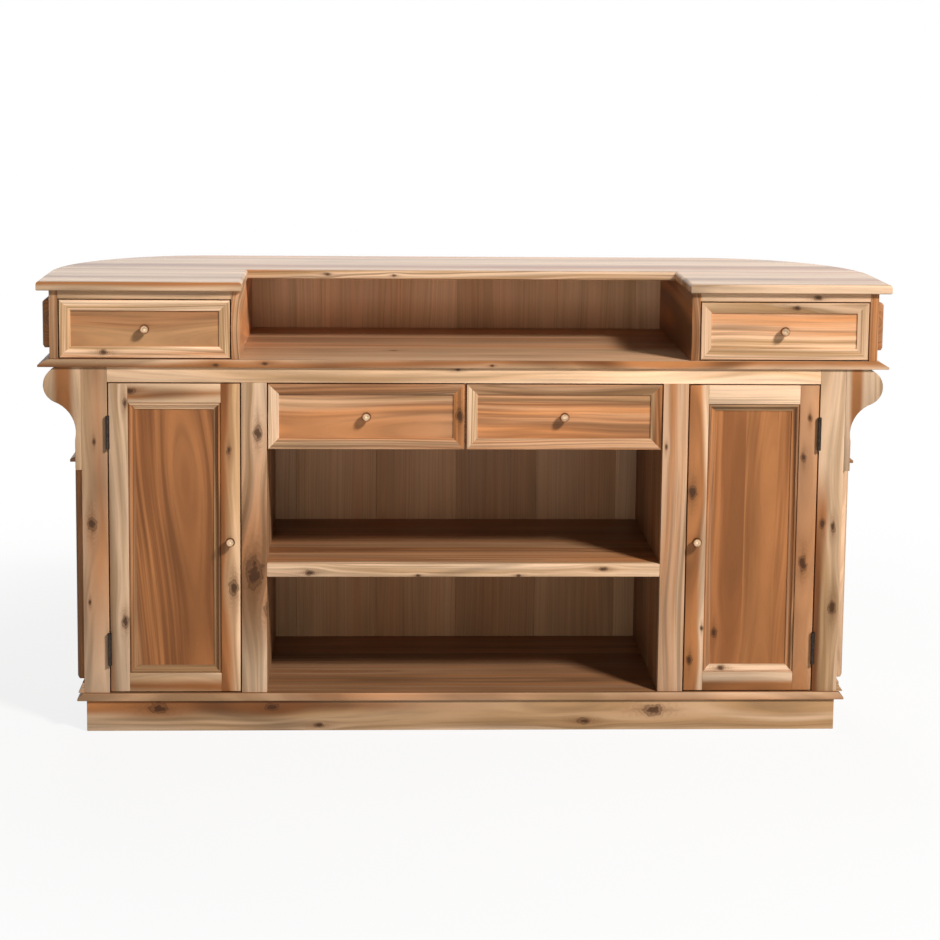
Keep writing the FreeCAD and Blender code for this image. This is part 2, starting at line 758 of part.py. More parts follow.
def door():
    x0, x1 = "(%s + door_gap)" % STILE_OUT, "(%s - door_gap)" % POST_IN
    z0, z1 = DOOR_LOW, DOOR_HIGH
    slot = door_panel_box("door_groove", x0, x1, z0, z1, "panel_groove")
    frame = door_frame(x0, x1, z0, z1, slot)
    panel = door_panel_box("right_door_panel", x0, x1, z0, z1, "(panel_groove - panel_clearance)")
    bead = [
        ("0", "bead_shoulder"),
        ("bead_round_start", "bead_front"),
        ("bead_flat_end", "bead_front"),
        ("bead_width", "bead_inner_depth", "bead_cove_radius", -1),
        ("bead_width", "panel_setback"),
        ("0", "panel_setback"),
    ]
    half_width = "((%s - %s) * half_share - door_border)" % (x1, x0)
    half_height = "((%s - %s) * half_share - door_border)" % (z1, z0)
    x, z = "((%s + %s) * half_share)" % (x0, x1), "((%s + %s) * half_share)" % (z0, z1)
    beads = mitred_frame(
        "right_door_bead", bead, "bead_width", half_width, half_height, x, z, "panel_setback"
    )
    pull = knob("right_door_knob", x0 + " + door_border * half_share", FACE, DOOR_KNOB)
    return [frame, panel, beads, pull]


def hinge_leaf(label, centre, x0, knuckles):
    """A plate in the door gap with its own share of the knuckles."""
    low = "(%s - hinge_height * half_share)" % centre
    x1 = "(%s + leaf_thickness)" % x0
    y0, y1 = "(%s + leaf_start)" % FACE, "(%s + leaf_start + leaf_depth)" % FACE
    pieces = [board(label + "_plate", x0, x1, y0, y1, low, low + " + hinge_height")]
    for index in knuckles:
        share = "(hinge_height * knuckle_share)"
        z0 = "(%s + %s * %d + knuckle_end_gap)" % (low, share, index)
        run = "(%s - knuckle_end_gap / half_share)" % share
        pieces.append(board("%s_tab_%d" % (label, index), x0, x1, PIN_Y, y0, z0, z0 + " + " + run))
        pieces.append(cylinder("%s_knuckle_%d" % (label, index), "knuckle_radius", run, PIN_X, PIN_Y, z0))
    bore = cylinder(
        label + "_bore", "hinge_pin_radius + hinge_pin_clearance", "hinge_height", PIN_X, PIN_Y, low
    )
    return cut(label, fuse(label + "_solid", pieces), bore)


def hinges():
    """Two butt hinges a door: leaves on the posts, leaves on the doors and loose pins."""
    frame_leaves = []
    door_leaves = []
    pins = []
    for name, centre in (("upper", HINGE_UPPER), ("lower", HINGE_LOWER)):
        low = "(%s - hinge_height * half_share)" % centre
        frame_x = POST_IN + " - leaf_thickness"
        frame_leaves.append(hinge_leaf("frame_leaf_" + name, centre, frame_x, (0, 2)))
        door_leaves.append(hinge_leaf("door_leaf_" + name, centre, POST_IN + " - door_gap", (1,)))
        pin = cylinder("pin_" + name, "hinge_pin_radius", "hinge_height", PIN_X, PIN_Y, low)
        head_z = "%s + hinge_height" % low
        head = cylinder("pin_head_" + name, "knuckle_radius", "hinge_pin_head", PIN_X, PIN_Y, head_z)
        pins.append(fuse("headed_pin_" + name, [pin, head]))
    left_pins = [mirror(pin.Label + "_left", pin) for pin in pins]
    left_leaves = [mirror(leaf.Label + "_left", leaf) for leaf in frame_leaves]
    door_side = group("right_door_hinge_leaves", door_leaves)
    frame_side = group("frame_hinge_leaves", frame_leaves + left_leaves)
    return [frame_side, group("hinge_pins", pins + left_pins), door_side]


def door_catches():
    """Blocks under the work board that stop each door and hold it shut."""
    x0 = "(%s + door_gap + catch_offset)" % STILE_OUT
    y0 = "(%s + catch_clearance)" % INSIDE
    z0 = "(%s - door_gap - catch_overlap)" % RAIL_BOTTOM
    block = board("door_catch", x0, x0 + " + catch_width", y0, y0 + " + catch_depth", z0, WORK_BOTTOM)
    return both("door_catches", block)


def drawer(label, x0, x1, z0, z1, box_x0, box_x1, length):
    """A mitred front with a sunk panel, a grooved box behind it, and a knob."""
    section = [
        ("0", "0"),
        ("drawer_arris", "0"),
        ("drawer_border", "drawer_lip_depth"),
        ("drawer_border", "drawer_panel_depth"),
        ("drawer_rebate", "drawer_panel_depth"),
        ("drawer_rebate", "drawer_front_thickness"),
        ("0", "drawer_front_thickness"),
    ]
    x, z = "((%s + %s) * half_share)" % (x0, x1), "((%s + %s) * half_share)" % (z0, z1)
    half_width, half_height = "((%s - %s) * half_share)" % (x1, x0), "((%s - %s) * half_share)" % (z1, z0)
    frame = mitred_frame(
        label + "_front_frame",
        section,
        "drawer_border",
        half_width,
        half_height,
        x,
        z,
        "drawer_front_thickness",
    )
    panel_y = "(%s + drawer_panel_depth)" % FACE
    reach = "drawer_rebate + panel_clearance"
    slab = board(
        label + "_panel_slab",
        "%s + %s" % (x0, reach),
        "%s - (%s)" % (x1, reach),
        panel_y,
        panel_y + " + panel_thickness",
        "%s + %s" % (z0, reach),
        "%s - (%s)" % (z1, reach),
    )
    panel = cut(label + "_front_panel", slab, stud_hole(label + "_knob_hole", x, panel_y, z))
    pull = knob(label + "_knob", x, panel_y, z)
    box, bottom = drawer_box(label, z0, z1, box_x0, box_x1, length)
    return [frame, panel, pull, box, bottom]


def drawer_box(label, z0, z1, x0, x1, length):
    """Two grooved sides, a back between them and a bottom."""
    y0 = "(%s + drawer_front_thickness)" % FACE
    y1 = "(%s + %s)" % (y0, length)
    low, high = "(%s + drawer_box_inset)" % z0, "(%s - drawer_box_inset)" % z1
    inner0, inner1 = "(%s + drawer_side_thickness)" % x0, "(%s - drawer_side_thickness)" % x1
    groove_z = "((%s + %s - runner_height) * half_share - runner_clearance)" % (low, high)
    groove_top = "(%s + runner_height + runner_clearance / half_share)" % groove_z
    deep = "(runner_engage + runner_clearance)"
    sides = []
    for name, a, b, g0, g1 in (
        ("inner", x0, inner0, x0, "%s + %s" % (x0, deep)),
        ("outer", inner1, x1, "%s - (%s)" % (x1, deep), x1),
    ):
        plank = board("%s_%s_plank" % (label, name), a, b, y0, y1, low, high)
        groove = board("%s_%s_groove" % (label, name), g0, g1, y0, y1, groove_z, groove_top)
        sides.append(cut("%s_%s_side" % (label, name), plank, groove))
    floor = "(%s + drawer_bottom_lift)" % low
    floor_top = "(%s + drawer_bottom_thickness)" % floor
    rear = "(%s - drawer_side_thickness)" % y1
    back = board(label + "_back", inner0, inner1, rear, y1, low, high)
    bottom = board(label + "_bottom", inner0, inner1, y0, rear, floor, floor_top)
    return group(label + "_box", sides + [back]), bottom


def runner(label, x0, x1, y1, z0, z1):
    """A strip on the wall that a drawer side's groove slides along."""
    low, high = "(%s + drawer_box_inset)" % z0, "(%s - drawer_box_inset)" % z1
    z = "((%s + %s - runner_height) * half_share)" % (low, high)
    return board(label, x0, x1, INSIDE, y1, z, z + " + runner_height")


def drawers():
    thick = "(divider_thickness * half_share)"
    start = "(%s + drawer_front_thickness)" % FACE
    c0, c1 = "(drawer_middle_gap * half_share)", "(%s - drawer_gap)" % BAY
    c_high = "(%s - drawer_gap)" % RAIL_BOTTOM
    c_box0, c_box1 = "(%s + centre_box_gap)" % thick, "(%s - centre_box_gap)" % BAY
    c_long = "(%s - centre_box_rear_gap - %s)" % (LOWER_BACK_IN, start)
    centre = drawer("centre_right_drawer", c0, c1, DRAWER_LOW, c_high, c_box0, c_box1, c_long)
    u0, u1 = "(%s + drawer_gap)" % NICHE_OUT, "(%s - drawer_gap)" % UPPER_IN
    u_low, u_high = "(%s + drawer_gap)" % WORK_TOP, "(%s - drawer_gap)" % UPPER_RAIL_BOTTOM
    u_box0 = "(%s + upper_box_inner_gap)" % NICHE_OUT
    u_box1 = "(%s - upper_box_outer_gap)" % UPPER_IN
    u_long = "(%s + upper_box_overrun - %s)" % (CY, start)
    upper = drawer("upper_right_drawer", u0, u1, u_low, u_high, u_box0, u_box1, u_long)
    end = "(%s - shelf_clearance)" % LOWER_BACK_IN
    grip = "runner_engage"
    strips = [
        runner("centre_inner_runner", thick, "%s + %s" % (c_box0, grip), end, DRAWER_LOW, c_high),
        runner("centre_outer_runner", "%s - %s" % (c_box1, grip), BAY, end, DRAWER_LOW, c_high),
        runner("upper_inner_runner", NICHE_OUT, "%s + %s" % (u_box0, grip), CY, u_low, u_high),
        runner("upper_outer_runner", "%s - %s" % (u_box1, grip), UPPER_IN, CY, u_low, u_high),
    ]
    left = [mirror(strip.Label + "_left", strip) for strip in strips]
    return centre + upper, group("drawer_runners", strips + left)


def build():
    nodes = plinth()
    base = d_board("bottom_board", "base_inset", "base_bevel_run", "bottom_thickness", "plinth_height")
    nodes.append(base)
    nodes += front_frame()
    nodes += lower_tier()
    nodes += shelves()
    nodes.append(corbels())
    nodes.append(wall_mouldings())
    nodes.append(raised_panels("lower", LOWER_OUT, LOWER_BACK_OUT, LOWER_RADIUS))
    nodes.append(d_board("work_board", "0", "work_bevel_run", "board_thickness", WORK_BOTTOM))
    nodes += upper_tier()
    nodes.append(raised_panels("upper", UPPER_OUT, UPPER_BACK_OUT, UPPER_RADIUS))
    nodes.append(counter_top())
    nodes.append(door_catches())
    frame_leaves, pins, door_leaves = hinges()
    drawer_nodes, runners = drawers()
    nodes += [frame_leaves, pins, runners]
    moving = door() + [door_leaves] + drawer_nodes
    nodes += moving
    nodes += [mirror(piece.Label.replace("right", "left"), piece) for piece in moving]
    return nodes


def export(nodes):
    doc.recompute()
    for obj in doc.Objects:
        if "Invalid" in obj.State or "Error" in obj.State:
            raise RuntimeError("%s did not build: %s" % (obj.Label, obj.State))
    os.makedirs("parts", exist_ok=True)
    for node in nodes:
        if node.Shape.isNull() or not node.Shape.isValid():
            raise RuntimeError("%s has no sound shape" % node.Label)
        node.Shape.exportStep("parts/%s.step" % node.Label)


export(build())
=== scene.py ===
import math

import bpy
from bpy.props import FloatProperty, FloatVectorProperty, PointerProperty
from mathutils import Matrix, Vector


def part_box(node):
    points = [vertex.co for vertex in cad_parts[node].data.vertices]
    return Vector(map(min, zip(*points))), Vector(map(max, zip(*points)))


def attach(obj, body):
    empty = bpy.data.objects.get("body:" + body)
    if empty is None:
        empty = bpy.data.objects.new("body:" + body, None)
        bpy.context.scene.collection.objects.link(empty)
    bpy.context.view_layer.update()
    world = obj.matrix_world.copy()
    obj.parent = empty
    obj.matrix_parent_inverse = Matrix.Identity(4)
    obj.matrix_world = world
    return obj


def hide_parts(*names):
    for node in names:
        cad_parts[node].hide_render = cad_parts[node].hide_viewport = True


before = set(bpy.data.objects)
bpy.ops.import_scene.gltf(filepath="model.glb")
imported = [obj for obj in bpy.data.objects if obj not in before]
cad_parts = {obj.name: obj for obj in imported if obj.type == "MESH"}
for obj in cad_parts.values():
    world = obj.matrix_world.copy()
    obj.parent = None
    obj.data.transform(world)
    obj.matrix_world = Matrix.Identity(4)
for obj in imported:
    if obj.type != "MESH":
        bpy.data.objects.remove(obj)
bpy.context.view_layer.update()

bl_info = {
    "name": "Bar counter dressing",
    "version": (1, 0, 0),
    "blender": (4, 5, 0),
    "location": "View3D > Sidebar > Counter",
    "description": "Dresses the packed bar counter with eased boards, mouldings and solid acacia",
    "category": "Object",
}

MM = 0.001

# The plane that the doors share with the face frame.
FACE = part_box("front_top_rail")[0].y
# The round corners of the plan: their centre, and a middling radius to unroll the curved walls by.
CORNER = Vector((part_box("lower_back_boards")[1].x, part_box("lower_side_walls")[1].y, 0.0))
WALL_BEND = 320 * MM

# Edges that turn more than SHARP are eased, in ROUNDS steps. Faces that turn less than SMOOTH are shaded
# as one surface, and on the narrow mouldings less than MOULDING_SMOOTH. Less than FLAT is no turn.
SHARP = math.radians(35)
SMOOTH = math.radians(40)
MOULDING_SMOOTH = math.radians(28)
FLAT = math.radians(1)
ROUNDS = 2
# Points nearer than WELD are merged, and places nearer than TOUCH are the same place.
WELD = 0.02 * MM
TOUCH = 0.01 * MM
# A face looks along an axis if that part of its normal is over SQUARE.
SQUARE = 0.9

# Sanded edges that differ from the ordinary arris, and the share of it that the door rails take.
TOP_ARRIS = 0.4 * MM
BOARD_ARRIS = 1.2 * MM
SHELF_PANEL_ARRIS = 0.5 * MM
CORBEL_ARRIS = 1.5 * MM
RAISED_PANEL_ARRIS = 0.8 * MM
BEAD_ARRIS = 0.4 * MM
DRAWER_ARRIS = 0.9 * MM
DOOR_RAIL_SHARE = 0.6

# Joinery sizes.
DOOR_GAP = 3 * MM
DOOR_BORDER = 45 * MM
GROOVE_FRONT, GROOVE_BACK, GROOVE_DEPTH = 12 * MM, 20 * MM, 8 * MM
WALL_THICK = 20 * MM
SHELF_THICK = 18 * MM
LIPPING_DEEP = 22 * MM
BEAD_SET_BACK = 4 * MM
# How deep behind a knob's front its dark skin begins, and where it is full.
PATINA_DEPTHS = (3 * MM, 9 * MM)

# Softness of most boards: no line shows between their heartwood and their sapwood.
EVEN = 1.0
# A fade that is over before any board begins.
WHOLE = (-9.0, -8.0)
# How far apart the seeds of neighbouring strips lie, and by how much their tones differ.
STRIP_STEP = 3.7
STRIP_TONE = 0.26


def colour(name, text, value):
    """A colour that a user can change."""
    return FloatVectorProperty(
        name=name, description=text, subtype="COLOR", size=3, min=0.0, max=1.0, default=value
    )


def share(name, text, value):
    """A share from none to all."""
    return FloatProperty(name=name, description=text, subtype="FACTOR", min=0.0, max=1.0, default=value)


def power(name, text, value):
    """The power of a lamp."""
    return FloatProperty(name=name, description=text, unit="POWER", min=0.0, default=value)


class CounterFinish(bpy.types.PropertyGroup):
    """Colours and edge sizes of the counter's woods and fittings."""

    sap_pale: colour("Pale sapwood", "Lightest streaks of the outer wood", (0.75, 0.515, 0.343))
    sap_tan: colour("Tan sapwood", "Darker streaks of the outer wood", (0.46, 0.266, 0.129))
    heart_light: colour("Light heartwood", "Lightest streaks of the inner wood", (0.50, 0.205, 0.074))
    heart_dark: colour("Dark heartwood", "Darkest streaks of the inner wood", (0.215, 0.076, 0.025))
    knot_core: colour("Knot", "Middle of a knot", (0.050, 0.018, 0.007))
    knot_ring: colour("Knot ring", "Wood that grew round a knot", (0.195, 0.074, 0.024))
    brass: colour("Brass", "Satin brass of the knobs", (0.80, 0.55, 0.345))
    patina: colour("Patina", "Dark skin round the rim of the knobs", (0.13, 0.060, 0.024))
    bronze: colour("Bronze", "Dark bronze of the hinges", (0.055, 0.042, 0.034))
    arris: FloatProperty(
        name="Eased arris",
        description="Width taken off a board's edges with sandpaper",
        unit="LENGTH",
        default=1.3 * MM,
        min=0.1 * MM,
        max=4 * MM,
    )
    shine: share("Varnish roughness", "Roughness of the satin varnish", 0.42)


class CounterStage(bpy.types.PropertyGroup):
    """Camera, lamps and floor of the studio."""

    camera_place: FloatVectorProperty(
        name="Camera place",
        description="Where the camera stands",
        subtype="TRANSLATION",
        unit="LENGTH",
        default=(-0.2333, -5.1258, 1.6521),
    )
    camera_turn: FloatVectorProperty(
        name="Camera turn",
        description="Yaw, pitch and roll from looking level along the counter's depth",
        subtype="EULER",
        default=(-0.0360, -0.1217, -0.0089),
    )
    lens: FloatProperty(
        name="Lens", description="Focal length", subtype="DISTANCE_CAMERA", default=80.10, min=10.0
    )
    shift: FloatVectorProperty(
        name="Lens shift", description="Shift across and up in frame widths", size=2, default=(0.03, -0.19)
    )
    key_power: power("Key lamp", "Power of the lamp on the right", 960.0)
    front_power: power("Front lamp", "Power of the low lamp by the camera", 46.0)
    top_power: power("Top lamp", "Power of the lamp over the top", 12.0)
    rear_power: power("Rear lamp", "Power of the lamp on the far side", 120.0)
    fill_level: share("Fill", "Level of the even surrounding light", 0.020)
    floor_glow: share("Floor white", "Share of the floor's white that shadows leave alone", 0.84)


class Wire:
    """A shader socket on which Python's operators add Math nodes."""

    def __init__(self, net, socket):
        self.net = net
        self.socket = socket

    def out(self, name):
        """Another output of the same node."""
        return Wire(self.net, self.socket.node.outputs[name])

    def math(self, operation, *others):
        """A Math node with this wire as its first value."""
        return self.net.maths(operation, self, *others)

    def __add__(self, other):
        return self.math("ADD", other)

    def __sub__(self, other):
        return self.math("SUBTRACT", other)

    def __rsub__(self, other):
        return self.net.maths("SUBTRACT", other, self)

    def __mul__(self, other):
        return self.math("MULTIPLY", other)

    def __truediv__(self, other):
        return self.math("DIVIDE", other)

    def __rtruediv__(self, other):
        return self.net.maths("DIVIDE", other, self)

    __radd__ = __add__
    __rmul__ = __mul__

    def __abs__(self):
        return self.math("ABSOLUTE")

    def hypot(self, other):
        """The long side of a right angle whose short sides are this wire and another."""
        return (self * self + other * other).math("SQRT")

    def bell(self):
        """1 at zero, falling off to either side."""
        return (self * self * -1.0).math("EXPONENT")

    def spread(self, low, high):
        """0 at low and 1 at high, smooth between them."""
        sockets = {"Value": self, "From Min": low, "From Max": high}
        return self.net.node("ShaderNodeMapRange", {"interpolation_type": "SMOOTHSTEP"}, sockets)


class Net:
    """A node tree that nodes are added to one call at a time."""

    def __init__(self, tree):
        self.tree = tree

    def node(self, kind, settings=None, sockets=None, output=0):
        """Adds a node, its settings first, then its sockets' values and links; gives one output."""
        made = self.tree.nodes.new(kind)
        for name, value in (settings or {}).items():
            setattr(made, name, value)
        for key, value in (sockets or {}).items():
            if isinstance(value, Wire):
                self.tree.links.new(value.socket, made.inputs[key])
            else:
                made.inputs[key].default_value = value
        return Wire(self, made.outputs[output]) if made.outputs else None

    def maths(self, operation, *values):
        """A Math node on wires and numbers."""
        return self.node("ShaderNodeMath", {"operation": operation}, dict(enumerate(values)))

    def most(self, wires):
        """The highest of several wires."""
        highest, *others = wires
        for wire in others:
            highest = highest.math("MAXIMUM", wire)
        return highest

    def parts(self, vector):
        """The three parts of a vector."""
        first = self.node("ShaderNodeSeparateXYZ", None, {0: vector})
        return first, first.out("Y"), first.out("Z")

    def noise(self, x, y, z, detail=2.0):
        """Smooth noise about 0.5 at a place."""
        place = self.node("ShaderNodeCombineXYZ", None, {0: x, 1: y, 2: z})
        sockets = {"Vector": place, "Scale": 1.0, "Detail": detail, "Roughness": 0.5}
        return self.node("ShaderNodeTexNoise", None, sockets)

    def blend(self, amount, first, second):
        """A colour between two others. A Mix node's colour sockets have no names of their own."""
        sockets = {0: amount, 6: first, 7: second}
        return self.node("ShaderNodeMix", {"data_type": "RGBA"}, sockets, 2)

    def scale(self, tint, by):
        """A colour made lighter or darker."""
        return self.node("ShaderNodeVectorMath", {"operation": "SCALE"}, {0: tint, "Scale": by})

    def bump(self, height, strength, distance):
        """The normal of a surface with that height."""
        sockets = {"Strength": strength, "Distance": distance, "Height": height}
        return self.node("ShaderNodeBump", None, sockets)

    def coordinates(self):
        """Places on the object's own axes."""
        return dict(zip("xyz", self.parts(self.node("ShaderNodeTexCoord", None, None, "Object"))))

    def around(self):
        """Places on the curved walls: u round the plan from the middle of the back, r outwards, z up."""
        place = self.coordinates()
        x, y = place["x"], place["y"]
        over = (abs(x) - CORNER.x).math("MAXIMUM", 0.0)
        behind = (y - CORNER.y).math("MAXIMUM", 0.0)
        turn = over.math("ARCTAN2", behind)
        ahead = (CORNER.y - y).math("MAXIMUM", 0.0)
        run = abs(x).math("MINIMUM", CORNER.x) + turn * WALL_BEND + ahead
        return {"u": run * x.math("SIGN"), "r": over.hypot(behind), "z": place["z"]}

    def seen(self):
        """1 for what the camera sees, also mirrored or through glass, and 0 for light on the object."""
        path = self.node("ShaderNodeLightPath")
        return self.most([path.out("Is %s Ray" % kind) for kind in ("Camera", "Glossy", "Transmission")])

    def end(self, kind, shader):
        """Ends a material or a world with its shader."""
        self.node("ShaderNodeOutput" + kind, None, {"Surface": shader})

    def principled(self, sockets):
        """Ends a material with a Principled shader."""
        self.end("Material", self.node("ShaderNodeBsdfPrincipled", None, sockets))


def chosen():
    """The finish that the user chose."""
    return bpy.context.scene.counter_finish


def rgba(tint):
    """A colour as a socket takes it."""
    return (*tint, 1.0)


def new_material(name):
    """An empty material and its net."""
    material = bpy.data.materials.new(name)
    material.use_nodes = True
    material.node_tree.nodes.clear()
    return material, Net(material.node_tree)


def new_group(name, inputs, outputs):
    """The net of an empty node group, and its inputs as wires."""
    tree = bpy.data.node_groups.new(name, "ShaderNodeTree")
    for label in inputs:
        tree.interface.new_socket(label, in_out="INPUT", socket_type="NodeSocketFloat")
    for label, kind in outputs.items():
        tree.interface.new_socket(label, in_out="OUTPUT", socket_type="NodeSocket" + kind)
    net = Net(tree)
    first = net.node("NodeGroupInput")
    return net, [first.out(label) for label in inputs]


def figure_group(name):
    """Solid acacia: streaks that bow about the pith, red heartwood inside and pale sapwood outside."""
    finish = chosen()
    places = ["Along", "Across", "Deep"]
    growth = ["Seed", "Pith", "Lean", "Reach", "Soft", "Tone", "Calm"]
    limits = ["Fade From", "Fade To", "Ends From", "Ends To"]
    outputs = {"Color": "Color", "Roughness": "Float", "Height": "Float"}
    net, (along, across, deep, *wires) = new_group(name, places + growth + limits, outputs)
    seed, pith, lean, reach, soft, tone, calm, fade_from, fade_to, ends_from, ends_to = wires

    def calmed(value, rest=0.5):
        return value + (rest - value) * calm

    # The grain wanders slowly and ripples a little, and the pith rises and sinks along the board.
    slow = net.noise(along * 0.9, across * 2.0, seed, 1.0)
    quick = net.noise(along * 4.0, across * 9.0, seed + 11.0, 1.0)
    flow = across + (slow - 0.5) * 0.050 + (quick - 0.5) * 0.008
    swell = net.noise(along * 1.2, seed, seed + 5.0, 1.0) - 0.5
    side = flow - pith - along * lean
    lift = deep + 0.020 + swell * 0.025
    # Growth rings by distance from the pith, from broad bands to fine lines, then pores and blotches.
    ring = side.hypot(lift)
    broad = net.noise(ring * 34.0, along * 0.45, seed + 21.0, 1.5)
    middle = net.noise(ring * 120.0, along * 0.9, seed + 31.0)
    narrow = net.noise(ring * 300.0, along * 1.4, seed + 61.0)
    fine = net.noise(ring * 800.0, along * 4.0, seed + 41.0)
    pores = net.noise(along * 45.0, across * 1500.0, deep * 1500.0, 1.0)
    blotch = net.noise(along * 4.0, across * 16.0, seed + 51.0, 1.0)
    # Heartwood reaches out from the pith, with streaks at its edge.
    streak = ((middle - 0.5) * 3.2 + (broad - 0.5) * 2.6) * (1.0 - calm)
    edge = (reach + swell * 0.03 - abs(side)) / soft + streak
    inside = edge.spread(-1.0, 1.0) * along.spread(fade_from, fade_to) * along.spread(ends_from, ends_to)
    shade = calmed((broad * 0.34 + middle * 0.38 + narrow * 0.28).spread(0.41, 0.59))
    heartwood = net.blend(shade, rgba(finish.heart_dark), rgba(finish.heart_light))
    outer = calmed((broad * 0.36 + middle * 0.40 + narrow * 0.24).spread(0.40, 0.58))
    sapwood = net.blend(outer, rgba(finish.sap_tan), rgba(finish.sap_pale))
    wood = net.blend(inside, sapwood, heartwood)
    # Thin lines, dark veins, pores and blotches darken or lighten both.
    lines = (narrow * 0.55 + fine * 0.45).spread(0.38, 0.59) * 0.34 - 0.19
    veins = abs(broad - 0.47).spread(0.0, 0.022) * 0.28 - 0.28
    specks = pores.spread(0.30, 0.42) * 0.08 + 0.92
    mottle = (blotch - 0.5) * 0.48 + 1.03
    marks = calmed((lines + 1.0) * (veins + 1.0), 0.9)
    tinted = net.scale(wood, tone * marks * specks * mottle)
    rough = (fine - 0.5) * 0.22 + (pores - 0.5) * 0.10 + finish.shine
    height = fine * 0.5 + pores * 0.5
    net.node("NodeGroupOutput", None, {"Color": tinted, "Roughness": rough, "Height": height})
    return net.tree


def knot_group(name):
    """A knot: how far it pushes the grain aside, its dark core and the stained wood round it."""
    inputs = ["Along", "Across", "At", "Side", "Radius"]
    outputs = {"Push": "Float", "Core": "Float", "Stain": "Float"}
    net, (along, across, at, side, radius) = new_group(name, inputs, outputs)
    run = along - at
    off = across - side
    # The stain is drawn out along the grain much more than the ragged core is.
    rag = net.noise(along * 70.0, across * 90.0, at * 40.0, 1.0) - 0.5
    far = ((run * run) * 0.07 + off * off).math("SQRT") / radius
    near = ((run * run) * 0.36 + off * off).math("SQRT") / radius + rag * 1.1
    push = off * (far / 2.0).bell()
    whorl = (near * 11.0).math("SINE") * 0.5 + 0.5
    core = near.spread(0.85, 0.45) * 0.85 + abs(near - 0.90).spread(0.20, 0.05) * 0.50
    # A thin dark tail sways along the grain to both sides of the knot.
    sway = net.noise(along * 22.0, at * 40.0, side * 40.0, 1.0) - 0.5
    tail = ((off + sway * radius * 1.2) / radius / 0.42).bell() * (run / radius / 4.5).bell()
    stain = (far / 1.05 + rag * 0.8).bell() * (whorl * 0.45 + 0.55)
    stain = stain.math("MAXIMUM", tail * 0.9)
    net.node("NodeGroupOutput", None, {"Push": push, "Core": core.math("MINIMUM", 1.0), "Stain": stain})
    return net.tree


def shared(name, make):
    """Settings of a group node: the group of that name, made when it is first asked for."""
    return {"node_tree": bpy.data.node_groups.get(name) or make(name)}


def acacia(
    name, axes, seed, pith, reach, tone=1.0, knots=(), soft=EVEN, fade=WHOLE, ends=WHOLE,
    lean=0.0, calm=0.0, stave=0.0, spread=0.06, varnish=0.0, surface=0.0,
):
    """A board's material. axes names the axes along, across and into the board. pith is where the pith
    lies across it, lean how that drifts along it, reach how far the heartwood goes and soft how gradually
    it ends. fade and ends each give where along the board heartwood starts and where it is full. A knot
    is its place along, its place across and its radius, in metres. calm flattens the streaks. With stave,
    strips of that width differ by up to spread. varnish is how full the film is, and surface where the
    board's face lies on its third axis."""
    finish = chosen()
    material, net = new_material(name)
    place = net.around() if "u" in axes else net.coordinates()
    along, across, deep = (place[axis] for axis in axes)
    facts = {
        "Seed": seed, "Pith": pith, "Lean": lean, "Reach": reach, "Soft": soft, "Tone": tone,
        "Calm": calm, "Fade From": fade[0], "Fade To": fade[1], "Ends From": ends[0], "Ends To": ends[1],
    }
    if stave:
        # Each strip comes from another board, and draws its own pith, reach and tone.
        strip = (across / stave + seed).math("FLOOR")
        draw = {"W": strip + seed}
        draws = net.parts(net.node("ShaderNodeTexWhiteNoise", {"noise_dimensions": "1D"}, draw, "Color"))
        middle = (strip + 0.5 - seed) * stave
        facts["Seed"] = strip * STRIP_STEP + seed
        facts["Pith"] = middle + pith + (draws[0] - 0.5) * spread
        facts["Reach"] = (draws[1] - 0.5) * spread + reach
        facts["Tone"] = (draws[2] - 0.5) * STRIP_TONE + tone
    cores, stains = [], []
    for at, side, radius in knots:
        sockets = {"Along": along, "Across": across, "At": at, "Side": side, "Radius": radius}
        knot = net.node("ShaderNodeGroup", shared("acacia_knot", knot_group), sockets, "Push")
        across = across - knot
        cores.append(knot.out("Core"))
        stains.append(knot.out("Stain"))
    sockets = {"Along": along, "Across": across, "Deep": deep - surface, **facts}
    figure = net.node("ShaderNodeGroup", shared("acacia_figure", figure_group), sockets, "Color")
    tint = figure
    if knots:
        tint = net.blend(net.most(stains) * 0.70, tint, rgba(finish.knot_ring))
        tint = net.blend(net.most(cores), tint, rgba(finish.knot_core))
    normal = net.bump(figure.out("Height"), 0.22, 0.4 * MM)
    sockets = {"Base Color": tint, "Roughness": figure.out("Roughness"), "Normal": normal}
    film = {"Specular IOR Level": 0.18, "Coat Weight": varnish, "Coat Roughness": 0.22}
    net.principled({**sockets, **film})
    return material


def metal(name, tint, rough, grain, patina=None):
    """Satin metal with fine turning marks and faint tarnish. patina gives the depths between which the
    polish gives way to a dark skin."""
    material, net = new_material(name)
    place = net.coordinates()
    cloud = net.noise(*(axis * 160.0 for axis in place.values()))
    marks = net.noise(*(axis * grain for axis in place.values()), 3.0)
    tarnish = cloud.spread(0.42, 0.70)
    tone = net.blend(tarnish, rgba(tint), rgba([part * 0.62 for part in tint]))
    if patina:
        tone = net.blend(place["y"].spread(*patina), tone, rgba(chosen().patina))
    normal = net.bump(marks, 0.12, 0.2 * MM)
    roughness = tarnish * 0.15 + (marks - 0.5) * 0.15 + rough
    net.principled({"Base Color": tone, "Metallic": 1.0, "Roughness": roughness, "Normal": normal})
    return material


def mode(kind):
    """Goes to edit or object mode."""
    bpy.ops.object.mode_set(mode=kind)


def extrude(move):
    """Draws the selected faces out."""
    bpy.ops.mesh.extrude_region_move(TRANSFORM_OT_translate={"value": move})


def sand(width, smooth):
    """Rounds the selected edges and shades the object, in object mode again."""
    bpy.ops.mesh.bevel(offset=width, segments=ROUNDS, affect="EDGES")
    mode("OBJECT")
    bpy.ops.object.shade_smooth_by_angle(angle=smooth)


